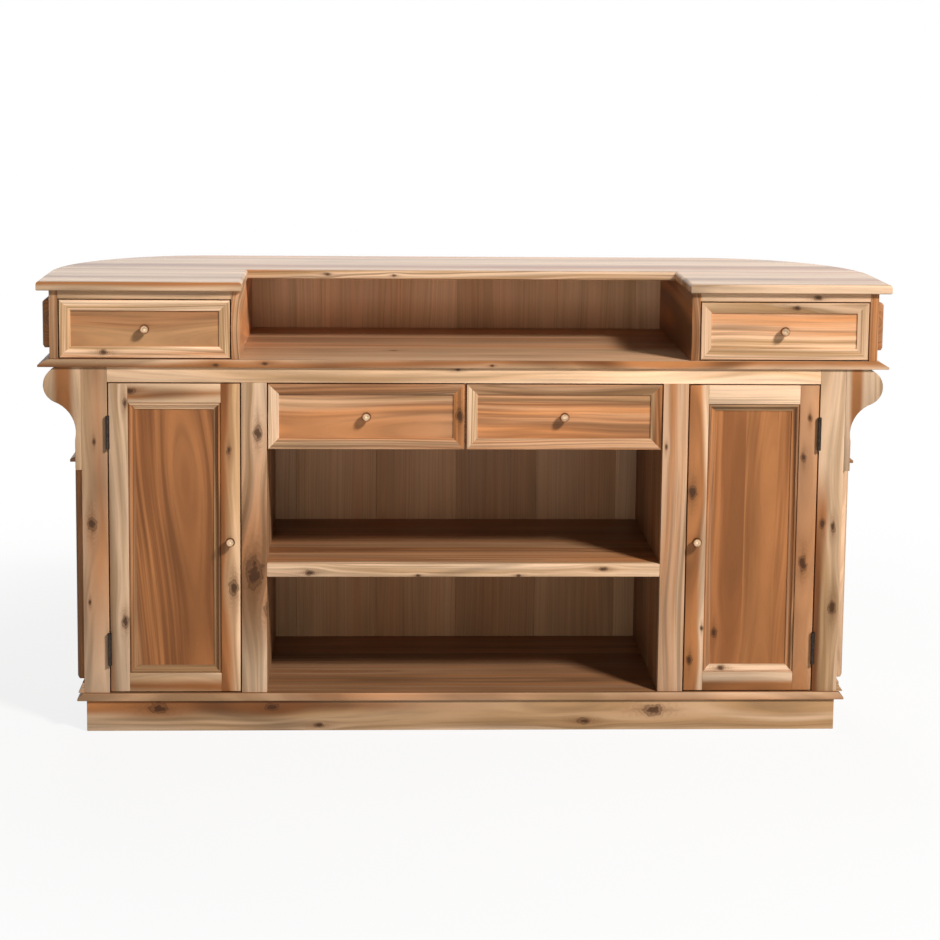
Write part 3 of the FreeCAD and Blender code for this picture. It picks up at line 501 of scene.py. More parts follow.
def take(made=None):
    """Goes to object mode with nothing selected, or only the object given."""
    if bpy.context.object and bpy.context.object.mode != "OBJECT":
        mode("OBJECT")
    bpy.ops.object.select_all(action="DESELECT")
    if made:
        made.select_set(True)
        bpy.context.view_layer.objects.active = made


def block(name, low, high):
    """A block between two corners, its place and size in its mesh."""
    take()
    low, high = Vector(low), Vector(high)
    bpy.ops.mesh.primitive_cube_add(size=1.0, location=(low + high) / 2)
    made = bpy.context.object
    made.name = made.data.name = name
    made.scale = high - low
    bpy.ops.object.transform_apply(location=True, rotation=True, scale=True)
    return made


def pick(made, kind, test):
    """Selects the faces whose middle and normal pass the test, or the edges whose ends do."""
    mode("EDIT")
    bpy.ops.mesh.select_mode(type=kind)
    bpy.ops.mesh.select_all(action="DESELECT")
    mode("OBJECT")
    mesh = made.data
    if kind == "EDGE":
        for edge in mesh.edges:
            edge.select = bool(test(*(mesh.vertices[index].co for index in edge.vertices)))
    else:
        for face in mesh.polygons:
            face.select = bool(test(face.center, face.normal))
    mode("EDIT")


def plank(name, low, high, material, width=None):
    """A sawn board with sanded edges, of the ordinary arris unless a width is given."""
    made = block(name, low, high)
    mode("EDIT")
    bpy.ops.mesh.select_all(action="SELECT")
    sand(width or chosen().arris, SMOOTH)
    made.data.materials.append(material)
    return made


def settle(made, body, slot, *nodes):
    """Lets a finished piece ride on a body in place of the nodes given."""
    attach(made, body)
    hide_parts(*nodes)


def joined(name, parts, body, *nodes):
    """One piece from several boards."""
    take()
    for part in parts:
        part.select_set(True)
    made = parts[0]
    bpy.context.view_layer.objects.active = made
    if len(parts) > 1:
        bpy.ops.object.join()
    made.name = made.data.name = name
    settle(made, body, "counter_wood", *nodes)


def side_by_side(name, node, spans, woods):
    """Boards that stand between places across one of the carcass's nodes, as high and deep as it is."""
    low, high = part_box(node)
    boards = [
        plank(name, (x0, low.y, low.z), (x1, high.y, high.z), wood)
        for (x0, x1), wood in zip(spans, woods)
    ]
    joined(name, boards, "carcass", node)


def outside(node):
    """How far the outside of a curved node lies from the middle of the round corner."""
    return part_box(node)[1].y - CORNER.y


def dress(material, *nodes):
    """Gives CAD nodes their finish."""
    for name in nodes:
        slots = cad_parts[name].material_slots
        if not slots:
            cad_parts[name].data.materials.append(material)
        for slot in slots:
            slot.material = material


def eased_copy(name, node, slot, width, materials, choose=None):
    """A merged copy of one of the carcass's nodes with its sharp edges sanded, standing in for it. choose
    tells which of the materials a face takes."""
    made = bpy.data.objects.new(name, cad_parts[node].data.copy())
    made.data.name = name
    bpy.context.scene.collection.objects.link(made)
    take(made)
    bpy.ops.mesh.customdata_custom_splitnormals_clear()
    mode("EDIT")
    bpy.ops.mesh.select_all(action="SELECT")
    bpy.ops.mesh.remove_doubles(threshold=WELD)
    bpy.ops.mesh.dissolve_limited(angle_limit=FLAT)
    mode("OBJECT")
    made.data.materials.clear()
    for material in materials:
        made.data.materials.append(material)
    for face in made.data.polygons:
        face.material_index = int(choose(face)) if choose else 0
    bevel = made.modifiers.new("ease", "BEVEL")
    bevel.width = width
    bevel.segments = ROUNDS
    bevel.limit_method = "ANGLE"
    bevel.angle_limit = SHARP
    bevel.use_clamp_overlap = True
    bpy.ops.object.modifier_apply(modifier=bevel.name)
    bpy.ops.object.shade_smooth_by_angle(angle=SMOOTH)
    settle(made, "carcass", slot, node)


def moulded_frame(name, low, high, bars, width, steps, meet, rebate):
    """A mitred frame in one piece: the front face is inset step by step, each step given as how far in
    and how far back, then opened through to a rebate of the width given at the back. meet is the depth
    at which front and rebate meet, and bars the materials of the level and the upright bars, with a
    third where the lower bar has its own."""
    low, high = Vector(low), Vector(high)
    made = block(name, low, high)
    pick(made, "FACE", lambda centre, normal: normal.y < -SQUARE)
    border = depth = 0.0
    for inwards, back in steps:
        bpy.ops.mesh.inset(thickness=inwards, depth=-back, use_even_offset=True)
        border += inwards
        depth += back
    if meet > depth:
        extrude((0, meet - depth, 0))
    bpy.ops.mesh.delete(type="FACE")
    mode("OBJECT")
    pick(made, "FACE", lambda centre, normal: normal.y > SQUARE)
    bpy.ops.mesh.inset(thickness=rebate, depth=0.0, use_even_offset=True)
    thick = high.y - low.y
    if thick - meet > TOUCH:
        extrude((0, meet - thick, 0))
    if border - rebate > TOUCH:
        bpy.ops.mesh.inset(thickness=border - rebate, depth=0.0, use_even_offset=True)
    bpy.ops.mesh.delete(type="FACE")
    bpy.ops.mesh.select_all(action="SELECT")
    bpy.ops.mesh.remove_doubles(threshold=WELD)
    bpy.ops.mesh.normals_make_consistent(inside=False)
    mode("OBJECT")
    for material in bars:
        made.data.materials.append(material)

    def from_side(point):
        return min(point.x - low.x, high.x - point.x)

    def from_level(point):
        return min(point.z - low.z, high.z - point.z)

    def on_front_rim(*ends):
        return all(
            abs(end.y - low.y) < TOUCH and min(from_side(end), from_level(end)) < TOUCH for end in ends
        )

    level, upright, lower = 0, 1, len(bars) - 1
    for face in made.data.polygons:
        centre = face.center
        in_lower = lower > upright and centre.z < (low.z + high.z) / 2
        bar = upright if from_side(centre) < from_level(centre) else lower if in_lower else level
        face.material_index = bar
    pick(made, "EDGE", on_front_rim)
    sand(width, MOULDING_SMOOTH)
    return made


# Uprights of the face frame: their kind, their side and their wood.
UPRIGHTS = {
    "left_post": ("post", -1, dict(
        seed=3.1, pith=-0.866, reach=0.019, tone=0.88, soft=0.045, fade=(0.0, 0.55),
        knots=((0.504, -0.877, 0.011), (0.315, -0.884, 0.004), (0.70, -0.871, 0.005)),
    )),
    "right_post": ("post", 1, dict(
        seed=5.4, pith=0.838, reach=0.024, tone=0.96, soft=0.009, fade=(0.66, 0.52),
        knots=((0.505, 0.853, 0.008), (0.497, 0.878, 0.008), (0.30, 0.883, 0.010)),
    )),
    "left_stile": ("stile", -1, dict(
        seed=8.2, pith=-0.56, reach=0.30, tone=0.92, fade=(0.90, 0.40), ends=(0.15, 0.36),
        knots=((0.722, -0.4876, 0.011), (0.385, -0.497, 0.022), (0.30, -0.478, 0.011)),
    )),
    "right_stile": ("stile", 1, dict(
        seed=12.6, pith=0.43, reach=-0.45, tone=0.92, knots=((0.69, 0.476, 0.004),),
    )),
}


class FaceFrame(bpy.types.Operator):
    """Makes the posts, stiles and rails of the bartender's side, each board with its own figure"""

    bl_idname = "counter.face_frame"
    bl_label = "Face frame"

    def execute(self, context):
        low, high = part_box("front_stiles")
        rail_low, rail_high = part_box("front_top_rail")
        stile_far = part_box("right_door_frame")[0].x - DOOR_GAP
        stile_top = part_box("left_door_frame")[1].z + DOOR_GAP
        edges = {
            "post": (rail_high.x, high.x, rail_high.z),
            "stile": (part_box("middle_shelf")[1].x, stile_far, stile_top),
        }
        boards = []
        for name, (kind, side, facts) in UPRIGHTS.items():
            near, far, top = edges[kind]
            x0, x1 = sorted((near * side, far * side))
            wood = acacia(name + "_wood", "zxy", **facts)
            boards.append(plank(name, (x0, low.y, low.z), (x1, high.y, top), wood))
        joined("face_posts", boards, "carcass", "front_stiles")
        # The front rail's heartwood lies along its upper edge: partly the wood's own streaks, partly
        # painted shade under the work board's ledge.
        knots = ((-0.02, 0.874, 0.004),)
        wood = acacia("front_rail_wood", "xzy", 17.3, 0.892, 0.008, 1.42, knots, soft=0.010)
        board = plank("front_rail", rail_low, rail_high, wood)
        joined("front_rail", [board], "carcass", "front_top_rail")
        knots = ((0.827, 1.047, 0.006),)
        wood = acacia("drawer_rail_wood", "xzy", 21.7, 1.10, -0.6, 1.10, knots)
        low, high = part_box("upper_rails")
        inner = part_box("niche_walls")[1].x
        spans = ((low.x, -inner), (inner, high.x))
        side_by_side("drawer_rails", "upper_rails", spans, (wood, wood))
        return {"FINISHED"}


PLINTH_KNOTS = (
    (-0.725, 0.056, 0.014), (-0.457, 0.058, 0.011), (-0.343, 0.013, 0.007),
    (0.291, 0.022, 0.009), (0.457, 0.049, 0.015),
)


class Plinth(bpy.types.Operator):
    """Makes the plinth's front board and finishes its skirt and bearers"""

    bl_idname = "counter.plinth"
    bl_label = "Plinth"

    def execute(self, context):
        facts = {"soft": 0.012, "fade": (0.20, -0.45)}
        wood = acacia("plinth_wood", "xzy", 31.4, 0.068, 0.015, 0.95, PLINTH_KNOTS, **facts)
        board = plank("plinth_board", *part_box("plinth_front"), wood)
        joined("plinth_board", [board], "carcass", "plinth_front")
        facts = {"soft": 0.05, "surface": outside("plinth_skirt")}
        skirt = acacia("skirt_wood", "uzr", 33.2, 0.05, 0.0, 0.97, **facts)
        dress(skirt, "plinth_skirt", "plinth_bearers")
        return {"FINISHED"}


# The level boards: the width sanded off their edges, the wood of their faces, and the name and the wood
# of their front edges, which are the faces that turn towards the bartender by more than EDGE_TURN.
EDGE_TURN = 0.6
LEVEL_BOARDS = {
    "counter_top": (
        TOP_ARRIS,
        dict(
            seed=2.3, pith=0.0, reach=0.0, tone=0.98, soft=0.03, calm=0.2, stave=0.066, spread=0.075,
            varnish=0.6,
        ),
        "top_edge",
        dict(
            seed=4.8, pith=1.085, reach=0.006, tone=1.02, soft=0.006, lean=0.01,
            knots=((-0.331, 1.070, 0.0045), (-0.167, 1.067, 0.0035)),
        ),
    ),
    "work_board": (
        BOARD_ARRIS,
        dict(
            seed=6.1, pith=0.0, reach=0.02, tone=0.93, soft=0.20, calm=0.5, stave=0.090, spread=0.06,
            knots=((-0.168, -0.135, 0.007),),
        ),
        "work_edge",
        dict(
            seed=7.4, pith=0.885, reach=0.012, tone=0.93, soft=0.010, lean=0.016,
            knots=((-0.470, 0.888, 0.005), (0.061, 0.885, 0.003), (-0.585, 0.884, 0.005)),
        ),
    ),
    # The bottom board's upper face has more heartwood and a darker tone than its front edge: partly the
    # wood's own figure, partly painted shade over the floor of the bay.
    "bottom_board": (
        BOARD_ARRIS,
        dict(seed=9.6, pith=0.0, reach=0.07, tone=0.74, soft=0.15, calm=0.4, stave=0.090, spread=0.05),
        "bottom_edge",
        dict(seed=11.4, pith=0.085, reach=0.002, tone=1.08, soft=0.030, lean=-0.012),
    ),
}


class Boards(bpy.types.Operator):
    """Eases and finishes the counter top, the work board and the bottom board"""

    bl_idname = "counter.boards"
    bl_label = "Top and boards"

    def execute(self, context):
        for node, (width, facts, edge_name, edge_facts) in LEVEL_BOARDS.items():
            flat = acacia(node + "_wood", "xyz", surface=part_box(node)[1].z, **facts)
            edge = acacia(edge_name + "_wood", "xzy", **edge_facts)
            eased_copy(
                node + "_eased", node, "counter_wood", width, (flat, edge),
                lambda face: face.normal.y < -EDGE_TURN,
            )
        return {"FINISHED"}


# Seams of the back boards. Those of the niche don't line up with those of the open shelves.
NICHE_SEAMS = (-0.620, -0.555, -0.351, -0.147, 0.057, 0.262, 0.466, 0.620)
SHELF_SEAMS = (-0.620, -0.4133, -0.2067, 0.0, 0.2067, 0.4133, 0.620)
SHELF_KNOTS = ((-0.366, 0.386, 0.007), (0.331, 0.395, 0.006), (0.13, 0.379, 0.004), (-0.11, 0.379, 0.003))


class Carcass(bpy.types.Operator):
    """Makes the walls, partitions, back boards and shelves behind the face frame"""

    bl_idname = "counter.carcass"
    bl_label = "Carcass"

    def walls(self):
        """The upright boards across the counter, in pairs."""
        # The right niche wall's wood is a darker copy of the left's: painted shade on the wall that turns
        # away from the key lamp.
        light = acacia("left_niche_wood", "yzx", 41.0, 0.97, 0.2, 1.42)
        dark = acacia("right_niche_wood", "yzx", 42.0, 0.95, 0.6, 0.80)
        plain = acacia("side_wood", "zyx", 44.0, -0.24, 0.2, 0.97)
        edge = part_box("partitions")[1].x
        facts = {"soft": 0.10, "stave": 0.11, "spread": 0.06}
        bay = [
            acacia(name, "zyx", 47.0, 0.0, 0.05, 0.74, surface=edge * side, **facts)
            for name, side in (("left_partition_wood", -1), ("right_partition_wood", 1))
        ]
        for name, node, woods in (
            ("niche_sides", "niche_walls", (light, dark)),
            ("upper_sides", "upper_side_walls", (plain, plain)),
            ("bay_partitions", "partitions", bay),
            ("lower_sides", "lower_side_walls", (plain, plain)),
        ):
            low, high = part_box(node)
            spans = [(x0, x0 + WALL_THICK) for x0 in (low.x, high.x - WALL_THICK)]
            side_by_side(name, node, spans, woods)

    def backs(self):
        """The back boards of the niche and of the open shelves."""
        for name, node, seams, reach, tone in (
            ("niche_back", "upper_back_boards", NICHE_SEAMS, -0.22, 1.44),
            ("shelf_back", "lower_back_boards", SHELF_SEAMS, 0.0, 1.04),
        ):
            facts = {"soft": 0.5, "calm": 0.72, "stave": 0.2067, "spread": 0.20}
            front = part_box(node)[0].y
            wood = acacia(name + "_wood", "zxy", 52.0, 0.0, reach, tone, surface=front, **facts)
            spans = list(zip(seams, seams[1:]))
            side_by_side(name, node, spans, [wood] * len(spans))

    def shelves(self):
        """The open shelf with its deeper lipping, and the shelves and small boards inside."""
        low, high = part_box("middle_shelf")
        join = low.y + LIPPING_DEEP
        under = high.z - SHELF_THICK
        facts = {"soft": 0.15, "stave": 0.085, "spread": 0.05}
        shelf = acacia("shelf_wood", "xyz", 57.0, 0.0, 0.10, 0.76, calm=0.3, surface=high.z, **facts)
        edge = acacia("shelf_edge_wood", "xzy", 59.0, 0.31, -0.9, 1.13, SHELF_KNOTS)
        boards = [
            plank("shelf_panel", (low.x, join, under), high, shelf, SHELF_PANEL_ARRIS),
            plank("shelf_lipping", low, (high.x, join, high.z), edge),
        ]
        joined("open_shelf", boards, "carcass", "middle_shelf")
        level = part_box("cupboard_shelves")[1].z
        facts.update({"calm": 0.4, "surface": level})
        dress(acacia("cupboard_shelf_wood", "xyz", 65.0, 0.0, 0.04, 0.90, **facts), "cupboard_shelves")
        inner = acacia("inner_wood", "yxz", 61.0, 0.0, 0.02, 0.95, soft=0.012, stave=0.09, surface=level)
        dress(inner, "shelf_cleats", "drawer_divider", "drawer_runners", "door_catches")

    def execute(self, context):
        self.walls()
        self.backs()
        self.shelves()
        return {"FINISHED"}


class CustomerSide(bpy.types.Operator):
    """Finishes the curved walls and mouldings, and eases the corbels and raised panels"""

    bl_idname = "counter.customer_side"
    bl_label = "Customers' side"

    def execute(self, context):
        facts = {"soft": 0.04, "stave": 0.07, "spread": 0.10}
        facts["surface"] = outside("lower_corner_walls")
        walls = acacia("curved_wall_wood", "zur", 71.0, 0.0, 0.01, **facts)
        dress(walls, "lower_corner_walls", "upper_corner_walls")
        corbels = (
            acacia("left_corbel_wood", "zxy", 73.0, -0.944, 0.017, 1.05, soft=0.011),
            acacia("right_corbel_wood", "zxy", 74.0, 0.922, 0.011, 0.74, soft=0.006),
        )
        eased_copy(
            "corbels_eased", "corbels", "counter_wood", CORBEL_ARRIS, corbels,
            lambda face: face.center.x > 0,
        )
        facts = {"surface": outside("wall_mouldings")}
        dress(acacia("moulding_wood", "uzr", 75.0, 0.62, 0.1, 0.98, **facts), "wall_mouldings")
        facts = {"soft": 0.035, "calm": 0.3, "stave": 0.10, "spread": 0.11}
        facts["surface"] = outside("lower_raised_panels")
        lower = acacia("raised_panel_wood", "zur", 77.0, 0.0, 0.07, 1.05, **facts)
        facts = {"calm": 0.3, "surface": outside("upper_raised_panels")}
        upper = acacia("upper_panel_wood", "uzr", 79.0, 0.99, 0.6, 1.08, **facts)
        for tier, wood in (("lower", lower), ("upper", upper)):
            node = tier + "_raised_panels"
            eased_copy(tier + "_panels_eased", node, "heartwood_panel", RAISED_PANEL_ARRIS, (wood,))
        return {"FINISHED"}


# Woods of the doors, board by board. A bead has one for its upper bar, one for its upright bars and one
# for its lower bar. BEAD_BARS names these, with the axes along, across and into them.
DOORS = {
    "left": {
        "hinge": dict(
            seed=81.2, pith=-0.850, reach=0.011, tone=0.92, soft=0.010,
            knots=((0.793, -0.7985, 0.007), (0.267, -0.801, 0.009)),
        ),
        "knob": dict(
            seed=84.9, pith=-0.578, reach=0.034, tone=1.38, soft=0.012,
            knots=((0.350, -0.546, 0.012), (0.68, -0.556, 0.006)),
        ),
        "top": dict(
            seed=87.1, pith=0.820, reach=0.007, tone=1.04, soft=0.010, knots=((-0.7866, 0.822, 0.008),)
        ),
        "bottom": dict(seed=90.3, pith=0.108, reach=0.013, tone=1.04, soft=0.011),
        "panel": dict(seed=93.4, pith=-0.60, reach=0.20, tone=1.06, soft=0.06, lean=-0.09, calm=0.3),
        "bead": (
            dict(seed=95.2, pith=0.80, reach=-0.8, tone=1.45),
            dict(seed=97.2, pith=-0.68, reach=0.6),
            dict(seed=96.2, pith=0.15, reach=0.25, tone=0.80),
        ),
    },
    "right": {
        "hinge": dict(
            seed=101.5, pith=0.81, reach=0.1, tone=0.91,
            knots=((0.760, 0.816, 0.006), (0.665, 0.804, 0.007), (0.409, 0.809, 0.011)),
        ),
        "knob": dict(
            seed=104.2, pith=0.533, reach=0.021, tone=1.02, soft=0.008,
            knots=((0.582, 0.541, 0.011), (0.172, 0.543, 0.008), (0.25, 0.57, 0.004)),
        ),
        "top": dict(seed=107.7, pith=0.90, reach=-1.6, tone=1.22),
        "bottom": dict(seed=110.8, pith=0.112, reach=0.014, tone=1.04, soft=0.007),
        "panel": dict(
            seed=113.1, pith=0.0, reach=0.15, tone=1.09, soft=0.06, lean=0.03, calm=0.35,
            stave=0.075, spread=0.05, knots=((0.235, 0.602, 0.008),),
        ),
        "bead": (
            dict(seed=116.9, pith=0.95, reach=-0.4, tone=0.90),
            dict(seed=117.9, pith=0.68, reach=0.4),
            dict(seed=115.9, pith=0.95, reach=-0.8, tone=1.08, knots=((0.620, 0.151, 0.006),)),
        ),
    },
}
BEAD_BARS = (("upper", "xzy"), ("upright", "zxy"), ("lower", "xzy"))
# The door bead's section after its quirk: steps inwards and back, its depth, and the width of its back.
BEAD = dict(
    steps=(
        (0.003, -0.002), (0.003, 0.0), (0.0016, 0.0030),
        (0.0024, 0.0025), (0.0032, 0.0017), (0.0038, 0.0008),
    ),
    meet=8 * MM,
    rebate=17 * MM,
)


def grooved(made, inner, axis, outwards):
    """Cuts the panel's groove along the inner edge of a door board, which lies at inner on the axis."""
    take(made)
    for depth in (GROOVE_FRONT, GROOVE_BACK):
        mode("EDIT")
        bpy.ops.mesh.select_all(action="SELECT")
        bpy.ops.mesh.bisect(plane_co=(0, FACE + depth, 0), plane_no=(0, 1, 0))
        mode("OBJECT")
    middle = FACE + (GROOVE_FRONT + GROOVE_BACK) / 2

    def on_strip(centre, normal):
        in_groove = abs(centre.y - middle) < (GROOVE_BACK - GROOVE_FRONT) / 2
        return in_groove and abs(centre[axis] - inner) < TOUCH and abs(normal[axis]) > SQUARE

    pick(made, "FACE", on_strip)
    move = [0.0, 0.0, 0.0]
    move[axis] = GROOVE_DEPTH * outwards
    extrude(move)
    mode("OBJECT")
    return made


class Doors(bpy.types.Operator):
    """Makes each door's stiles, rails and panel bead, and finishes its panel"""

    bl_idname = "counter.doors"
    bl_label = "Doors"

    def boards(self, hand, woods):
        """A door's stiles and rails with the groove for its panel."""
        low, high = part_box(hand + "_door_frame")
        left, right = low.x + DOOR_BORDER, high.x - DOOR_BORDER
        bottom, top = low.z + DOOR_BORDER, high.z - DOOR_BORDER
        on_left, on_right = ("hinge", "knob") if hand == "left" else ("knob", "hinge")
        # Each board: where it starts and ends, its inner edge, and which way its groove is cut.
        stiles = {on_left: (low.x, left, left, -1), on_right: (right, high.x, right, 1)}
        rails = {"top": (top, high.z, top, 1), "bottom": (low.z, bottom, bottom, -1)}
        arris = chosen().arris * DOOR_RAIL_SHARE
        made = []
        for name in ("hinge", "knob"):
            wood = acacia("%s_%s_stile_wood" % (hand, name), "zxy", **woods[name])
            x0, x1, inner, outwards = stiles[name]
            board = plank(name, (x0, low.y, low.z), (x1, high.y, high.z), wood)
            made.append(grooved(board, inner, 0, outwards))
        for name, (z0, z1, inner, outwards) in rails.items():
            wood = acacia("%s_%s_rail_wood" % (hand, name), "xzy", **woods[name])
            board = plank(name, (left, low.y, z0), (right, high.y, z1), wood, arris)
            made.append(grooved(board, inner, 2, outwards))
        return made

    def execute(self, context):
        for hand, woods in DOORS.items():
            door = hand + "_door"
            joined(door + "_boards", self.boards(hand, woods), door, door + "_frame")
            dress(acacia(hand + "_panel_wood", "zxy", **woods["panel"]), door + "_panel")
            bars = [
                acacia("%s_bead_%s_wood" % (hand, name), axes, **facts)
                for (name, axes), facts in zip(BEAD_BARS, woods["bead"])
            ]
            low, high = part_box(door + "_bead")
            low.y = FACE + BEAD_SET_BACK
            bead = moulded_frame(door + "_moulding", low, high, bars, BEAD_ARRIS, **BEAD)
            settle(bead, door, "counter_wood", door + "_bead")
        return {"FINISHED"}


# Woods of the drawers: the level bars, the upright bars and the panel.
DRAWERS = {
    "upper_left": (
        dict(seed=121.0, pith=0.913, reach=0.0, tone=1.38, soft=0.012, knots=((-0.846, 0.912, 0.007),)),
        dict(seed=123.0, pith=-0.75, reach=-1.0, tone=1.36),
        dict(seed=125.0, pith=0.93, reach=0.9, tone=1.46),
    ),
    "upper_right": (
        dict(seed=131.0, pith=1.09, reach=-0.5, tone=1.08, knots=((0.778, 1.023, 0.006),)),
        dict(seed=133.0, pith=0.72, reach=-0.6, tone=1.10),
        dict(seed=135.0, pith=1.05, reach=-0.15, tone=1.40),
    ),
    "centre_left": (
        dict(seed=141.0, pith=0.84, reach=0.25, tone=1.05),
        dict(
            seed=143.0, pith=-0.005, reach=0.024, tone=1.14, soft=0.008, knots=((0.765, -0.0145, 0.010),)
        ),
        dict(seed=145.0, pith=0.72, reach=0.38, tone=1.19),
    ),
    "centre_right": (
        dict(seed=151.0, pith=0.85, reach=0.15, tone=1.05),
        dict(seed=153.0, pith=0.460, reach=0.022, tone=1.14, soft=0.008),
        dict(seed=155.0, pith=0.70, reach=0.62, tone=1.34),
    ),
}
# The drawer front's section: a narrow flat and a slope, the depth of the panel, and the rebate behind it.
DRAWER_FRONT = dict(steps=((0.004, 0.0), (0.021, 0.008)), meet=11 * MM, rebate=17 * MM)


class Drawers(bpy.types.Operator):
    """Makes each drawer's mitred front and finishes its panel and box"""

    bl_idname = "counter.drawers"
    bl_label = "Drawers"

    def execute(self, context):
        box = acacia("drawer_box_wood", "yzx", 161.0, 0.90, 0.02, soft=0.012)
        for place, (level, upright, panel) in DRAWERS.items():
            name = place + "_drawer"
            bars = [
                acacia(name + "_level_wood", "xzy", **level),
                acacia(name + "_upright_wood", "zxy", **upright),
            ]
            low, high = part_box(name + "_front_frame")
            front = moulded_frame(name + "_front", low, high, bars, DRAWER_ARRIS, **DRAWER_FRONT)
            settle(front, name, "counter_wood", name + "_front_frame")
            dress(acacia(name + "_panel_wood", "xzy", **panel), name + "_front_panel")
            dress(box, name + "_box")
            facts = {"soft": 0.05, "stave": 0.09, "surface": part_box(name + "_bottom")[1].z}
            dress(acacia(name + "_bottom_wood", "xyz", 163.0, 0.0, 0.0, **facts), name + "_bottom")
        return {"FINISHED"}


class Fittings(bpy.types.Operator):
    """Finishes the brass knobs and the bronze hinges"""

    bl_idname = "counter.fittings"
    bl_label = "Knobs and hinges"

    def execute(self, context):
        finish = chosen()
        for kind, owners in (("door", DOORS), ("drawer", DRAWERS)):
            knobs = ["%s_%s_knob" % (owner, kind) for owner in owners]
            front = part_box(knobs[0])[0].y
            skin = [front + depth for depth in PATINA_DEPTHS]
            dress(metal(kind + "_knob_brass", finish.brass, 0.30, 900.0, skin), *knobs)
        leaves = [hand + "_door_hinge_leaves" for hand in DOORS]
        bronze = metal("hinge_bronze", finish.bronze, 0.38, 700.0)
        dress(bronze, "frame_hinge_leaves", "hinge_pins", *leaves)
        return {"FINISHED"}


WARM = (1.0, 0.98, 0.95)
WARMER = (1.0, 0.955, 0.84)
# Lamps: where they stand, where they aim, their width and height, their tint, and whether they show in
# reflections.
LAMPS = {
    "key": ((5.04, -5.6, 6.76), (0, 0, 0.6), (1.4, 1.4), WARM, False),
    "front": ((-0.2, -5.6, 0.8), (0, 0, 0.6), (2.6, 1.4), WARMER, True),
    "top": ((0.3, 1.1, 3.4), (0, 0.1, 1.0), (2.0, 1.0), WARM, True),
    "rear": ((-0.9, 5.0, 2.0), (0, 0.2, 0.5), (2.8, 1.6), WARM, False),
}
FLOOR_SIZE = 60.0
FLOOR_DROP = 0.5 * MM
# Greys of the floor as it lights the object and as it is seen, and how far out its shadow fades away.
FLOOR_DULL = (0.36, 0.36, 0.36, 1.0)
FLOOR_PAINT = (0.90, 0.90, 0.90, 1.0)
SHADOW_FADE = (1.1, 2.6)
SENSOR = 36.0


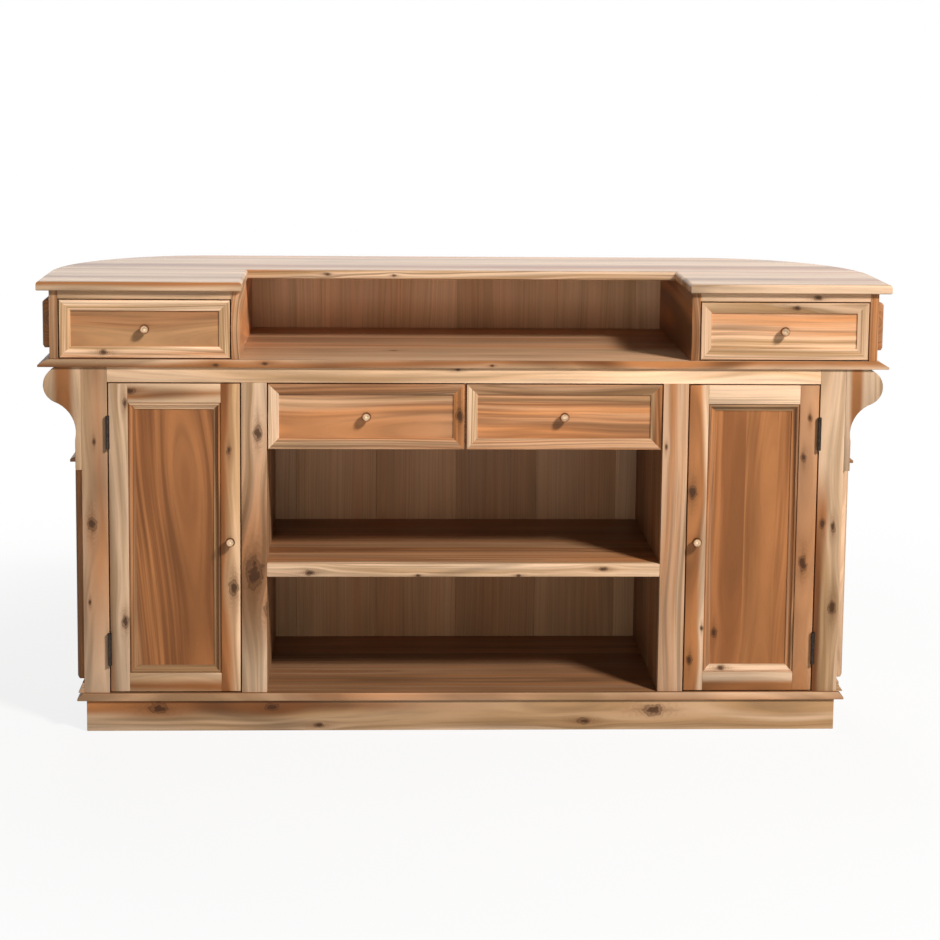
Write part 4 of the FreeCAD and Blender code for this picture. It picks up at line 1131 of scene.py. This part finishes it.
class Studio(bpy.types.Operator):
    """Sets the pale floor, the soft lamps and the camera"""

    bl_idname = "counter.studio"
    bl_label = "Studio"

    def floor(self, stage):
        """A white floor that keeps the counter's shadow and throws little light back at it."""
        take()
        bpy.ops.mesh.primitive_plane_add(size=FLOOR_SIZE, location=(0, 0, -FLOOR_DROP))
        made = bpy.context.object
        made.name = "floor"
        material, net = new_material("floor_white")
        dull = net.node("ShaderNodeBsdfDiffuse", None, {"Color": FLOOR_DULL})
        paint = net.node("ShaderNodeBsdfDiffuse", None, {"Color": FLOOR_PAINT})
        glow = net.node("ShaderNodeEmission", None, {"Strength": 1.0})
        place = net.coordinates()
        away = place["x"].hypot(place["y"]).spread(*SHADOW_FADE)
        lit = away * (1.0 - stage.floor_glow) + stage.floor_glow
        white = net.node("ShaderNodeMixShader", None, {0: lit, 1: paint, 2: glow})
        net.end("Material", net.node("ShaderNodeMixShader", None, {0: net.seen(), 1: dull, 2: white}))
        made.data.materials.append(material)

    def world(self, stage):
        """A surround that is seen as white and lights the object at the fill's level."""
        world = bpy.data.worlds.new("studio")
        bpy.context.scene.world = world
        world.use_nodes = True
        world.node_tree.nodes.clear()
        net = Net(world.node_tree)
        strength = net.seen() * (1.0 - stage.fill_level) + stage.fill_level
        white = {"Color": (1, 1, 1, 1), "Strength": strength}
        net.end("World", net.node("ShaderNodeBackground", None, white))

    def lamp(self, name, energy, place, aim, size, tint, mirrored):
        """A soft rectangular lamp."""
        data = bpy.data.lights.new(name, "AREA")
        data.shape = "RECTANGLE"
        data.size, data.size_y = size
        data.energy, data.color = energy, tint
        made = bpy.data.objects.new(name, data)
        made.location = place
        made.visible_glossy = mirrored
        made.rotation_euler = (Vector(aim) - Vector(place)).to_track_quat("-Z", "Y").to_euler()
        bpy.context.scene.collection.objects.link(made)

    def camera(self, stage):
        """The camera at the photograph's viewing angle."""
        data = bpy.data.cameras.new("camera")
        data.sensor_width = SENSOR
        data.lens = stage.lens
        data.shift_x, data.shift_y = stage.shift
        made = bpy.data.objects.new("camera", data)
        yaw, pitch, roll = stage.camera_turn
        turn = (
            Matrix.Rotation(yaw, 4, "Z")
            @ Matrix.Rotation(pitch, 4, "X")
            @ Matrix.Rotation(roll, 4, "Y")
            @ Matrix.Rotation(math.radians(90), 4, "X")
        )
        made.matrix_world = Matrix.Translation(stage.camera_place) @ turn
        bpy.context.scene.collection.objects.link(made)
        bpy.context.scene.camera = made

    def execute(self, context):
        stage = context.scene.counter_stage
        self.floor(stage)
        self.world(stage)
        for name, facts in LAMPS.items():
            self.lamp(name, getattr(stage, name + "_power"), *facts)
        self.camera(stage)
        context.scene.view_settings.view_transform = "Standard"
        return {"FINISHED"}


STEPS = (Studio, FaceFrame, Plinth, Boards, Carcass, CustomerSide, Doors, Drawers, Fittings)


class CounterPanel(bpy.types.Panel):
    """Lists the counter's steps and finishes"""

    bl_idname = "VIEW3D_PT_counter"
    bl_label = "Bar counter"
    bl_space_type = "VIEW_3D"
    bl_region_type = "UI"
    bl_category = "Counter"

    def draw(self, context):
        for step in STEPS:
            self.layout.operator(step.bl_idname)
        for owner in (context.scene.counter_finish, context.scene.counter_stage):
            for name in owner.__annotations__:
                self.layout.prop(owner, name)


CLASSES = (CounterFinish, CounterStage, *STEPS, CounterPanel)


def register():
    for item in CLASSES:
        bpy.utils.register_class(item)
    bpy.types.Scene.counter_finish = PointerProperty(type=CounterFinish)
    bpy.types.Scene.counter_stage = PointerProperty(type=CounterStage)


def unregister():
    del bpy.types.Scene.counter_stage
    del bpy.types.Scene.counter_finish
    for item in reversed(CLASSES):
        bpy.utils.unregister_class(item)


def main():
    register()
    for step in STEPS:
        owner, name = step.bl_idname.split(".")
        getattr(getattr(bpy.ops, owner), name)()


if __name__ == "__main__":
    main()
